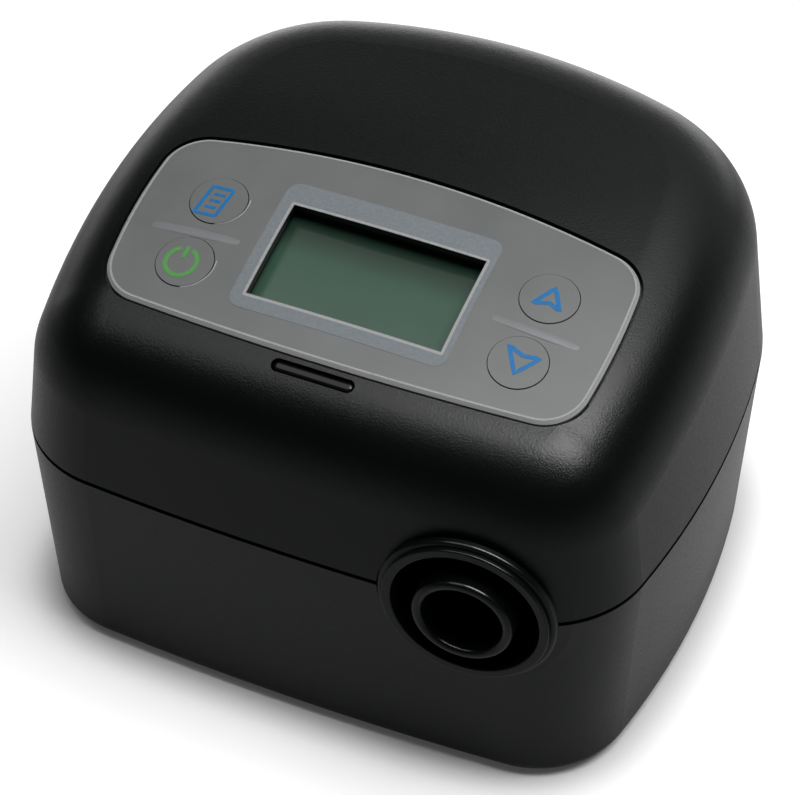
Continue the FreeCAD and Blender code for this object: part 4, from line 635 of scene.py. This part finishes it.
def panel_prints():
    """What is printed, painted as highlight and moulded on the panel itself."""
    lift = PANEL_LIFT + PRINT_THICKNESS
    glint = printed("glint_grey", HIGHLIGHT_GREY)
    # Painted highlights: a pale arc at the front right of each left button.
    for name in ("menu", "power"):
        painted_glint = arc(button_centre(name), GLINT_RADIUS, *GLINT_TURN, GLINT_STEPS)
        ribbon(f"{name}_lip", painted_glint, GLINT_WIDTH, lift, glint, "housing")
    hole = grown(WINDOW, WINDOW_CLEARANCE)
    rim = grown(hole, RIM_WIDTH)
    # Painted highlight: a pale rim round the window's edge.
    band("window_rim_highlight", rounded_rectangle(rim, RIM_CORNER), rounded_rectangle(hole, HOLE_CORNER), lift,
         printed("rim_highlight_grey", HIGHLIGHT_GREY), "housing")
    band("window_band", rounded_rectangle(BAND, BAND_CORNER), rounded_rectangle(rim, RIM_CORNER), lift,
         printed("band_grey", BAND_GREY), "housing")
    # Painted highlight: a pale line just inside the panel's edge.
    ribbon("panel_rim_highlight", panel_outline(), PANEL_RIM_WIDTH, lift, printed("edge_highlight_grey", HIGHLIGHT_GREY), "housing",
           closed=True)
    # The ridges are real raised bars; their paler grey is a painted highlight.
    pale = moulded("ridge_highlight_grey", RIDGE_HIGHLIGHT_GREY, **SATIN)
    for name, start, end in RIDGES:
        ridge(name, start, end, pale, "housing")


# ---- studio -----------------------------------------------------------------------------------

def floor_glow(tree):
    """Glow that makes up for the lamps' light where the floor runs far from them, with a painted contact
    shadow near the object.
    """
    distance = tree.nodes.new("ShaderNodeVectorMath")
    distance.operation = "LENGTH"
    tree.links.new(object_coordinates(tree), distance.inputs[0])
    rise = mapped(tree, distance.outputs["Value"], GLOW_DISTANCES, GLOW_LEVELS, "SMOOTHSTEP")
    sky = tree.nodes.new("ShaderNodeAmbientOcclusion")
    sky.samples = CONTACT_SAMPLES
    sky.inputs["Distance"].default_value = CONTACT_REACH
    # Painted contact shadow: the glow falls where the object closes off the sky.
    contact = mapped(tree, sky.outputs["AO"], (CONTACT_SHARE, 1.0), (CONTACT_GLOW, 1.0), "SMOOTHSTEP")
    return calculate(tree, "MULTIPLY", rise, contact)


def studio_floor():
    """A plain pale floor, whose glow only the camera, mirrors and glass see."""
    mesh = bpy.data.meshes.new("floor")
    size = FLOOR_HALF_SIZE
    corners = [(-size, -size, 0), (size, -size, 0), (size, size, 0), (-size, size, 0)]
    mesh.from_pydata(corners, [], [(0, 1, 2, 3)])
    floor = bpy.data.objects.new("floor", mesh)
    bpy.context.scene.collection.objects.link(floor)
    material, tree, shader = new_material("floor_white")
    grain = noise(tree, object_coordinates(tree), scale=40.0)
    tone = tint(tree, grain, (FLOOR_TONE - FLOOR_GRAIN,) * 3, (FLOOR_TONE + FLOOR_GRAIN,) * 3)
    tree.links.new(tone, shader.inputs["Base Color"])
    shader.inputs["Roughness"].default_value = 0.9
    shader.inputs["Specular IOR Level"].default_value = 0.0
    glow = tree.nodes.new("ShaderNodeEmission")
    path = tree.nodes.new("ShaderNodeLightPath").outputs
    seen = calculate(tree, "MAXIMUM", path["Is Camera Ray"], path["Is Glossy Ray"])
    seen = calculate(tree, "MAXIMUM", seen, path["Is Transmission Ray"])
    tree.links.new(calculate(tree, "MULTIPLY", seen, floor_glow(tree)), glow.inputs["Strength"])
    total = tree.nodes.new("ShaderNodeAddShader")
    tree.links.new(shader.outputs[0], total.inputs[0])
    tree.links.new(glow.outputs[0], total.inputs[1])
    tree.links.new(total.outputs[0], tree.nodes["Material Output"].inputs["Surface"])
    mesh.materials.append(material)


def softbox(name, place, size, tilt, radiance):
    """A flat rectangular lamp, whose power follows from its size and brightness."""
    data = bpy.data.lights.new(name, "AREA")
    data.shape = "RECTANGLE"
    data.size, data.size_y = size
    data.energy = radiance * math.pi * size[0] * size[1]
    lamp = bpy.data.objects.new(name, data)
    lamp.location = place
    lamp.rotation_euler = (math.radians(tilt), 0.0, 0.0)
    bpy.context.scene.collection.objects.link(lamp)


def lights():
    world = bpy.data.worlds.new("studio")
    world.use_nodes = True
    background = world.node_tree.nodes["Background"]
    background.inputs["Color"].default_value = (1.0, 1.0, 1.0, 1.0)
    background.inputs["Strength"].default_value = WORLD_LEVEL
    bpy.context.scene.world = world
    for lamp in SOFTBOXES:
        softbox(*lamp)


def camera():
    data = bpy.data.cameras.new("camera")
    data.lens = LENS
    data.sensor_width = SENSOR_WIDTH
    data.sensor_fit = "HORIZONTAL"
    data.clip_start = 0.01
    seen_from = bpy.data.objects.new("camera", data)
    azimuth, elevation = math.radians(CAMERA_AZIMUTH), math.radians(CAMERA_ELEVATION)
    forward = Vector((-math.sin(azimuth) * math.cos(elevation), math.cos(azimuth) * math.cos(elevation),
                      -math.sin(elevation)))
    right = Vector((math.cos(azimuth), math.sin(azimuth), 0.0))
    up = right.cross(forward)
    roll = math.radians(CAMERA_ROLL)
    x_axis = right * math.cos(roll) + up * math.sin(roll)
    y_axis = up * math.cos(roll) - right * math.sin(roll)
    rotation = Matrix((x_axis, y_axis, -forward)).transposed().to_4x4()
    seen_from.matrix_world = Matrix.Translation(CAMERA_PLACE) @ rotation
    bpy.context.scene.collection.objects.link(seen_from)
    bpy.context.scene.camera = seen_from


finish_nodes()
button_prints()
panel_prints()
studio_floor()
lights()
camera()
bpy.context.scene.view_settings.view_transform = "Standard"
bpy.context.view_layer.update()
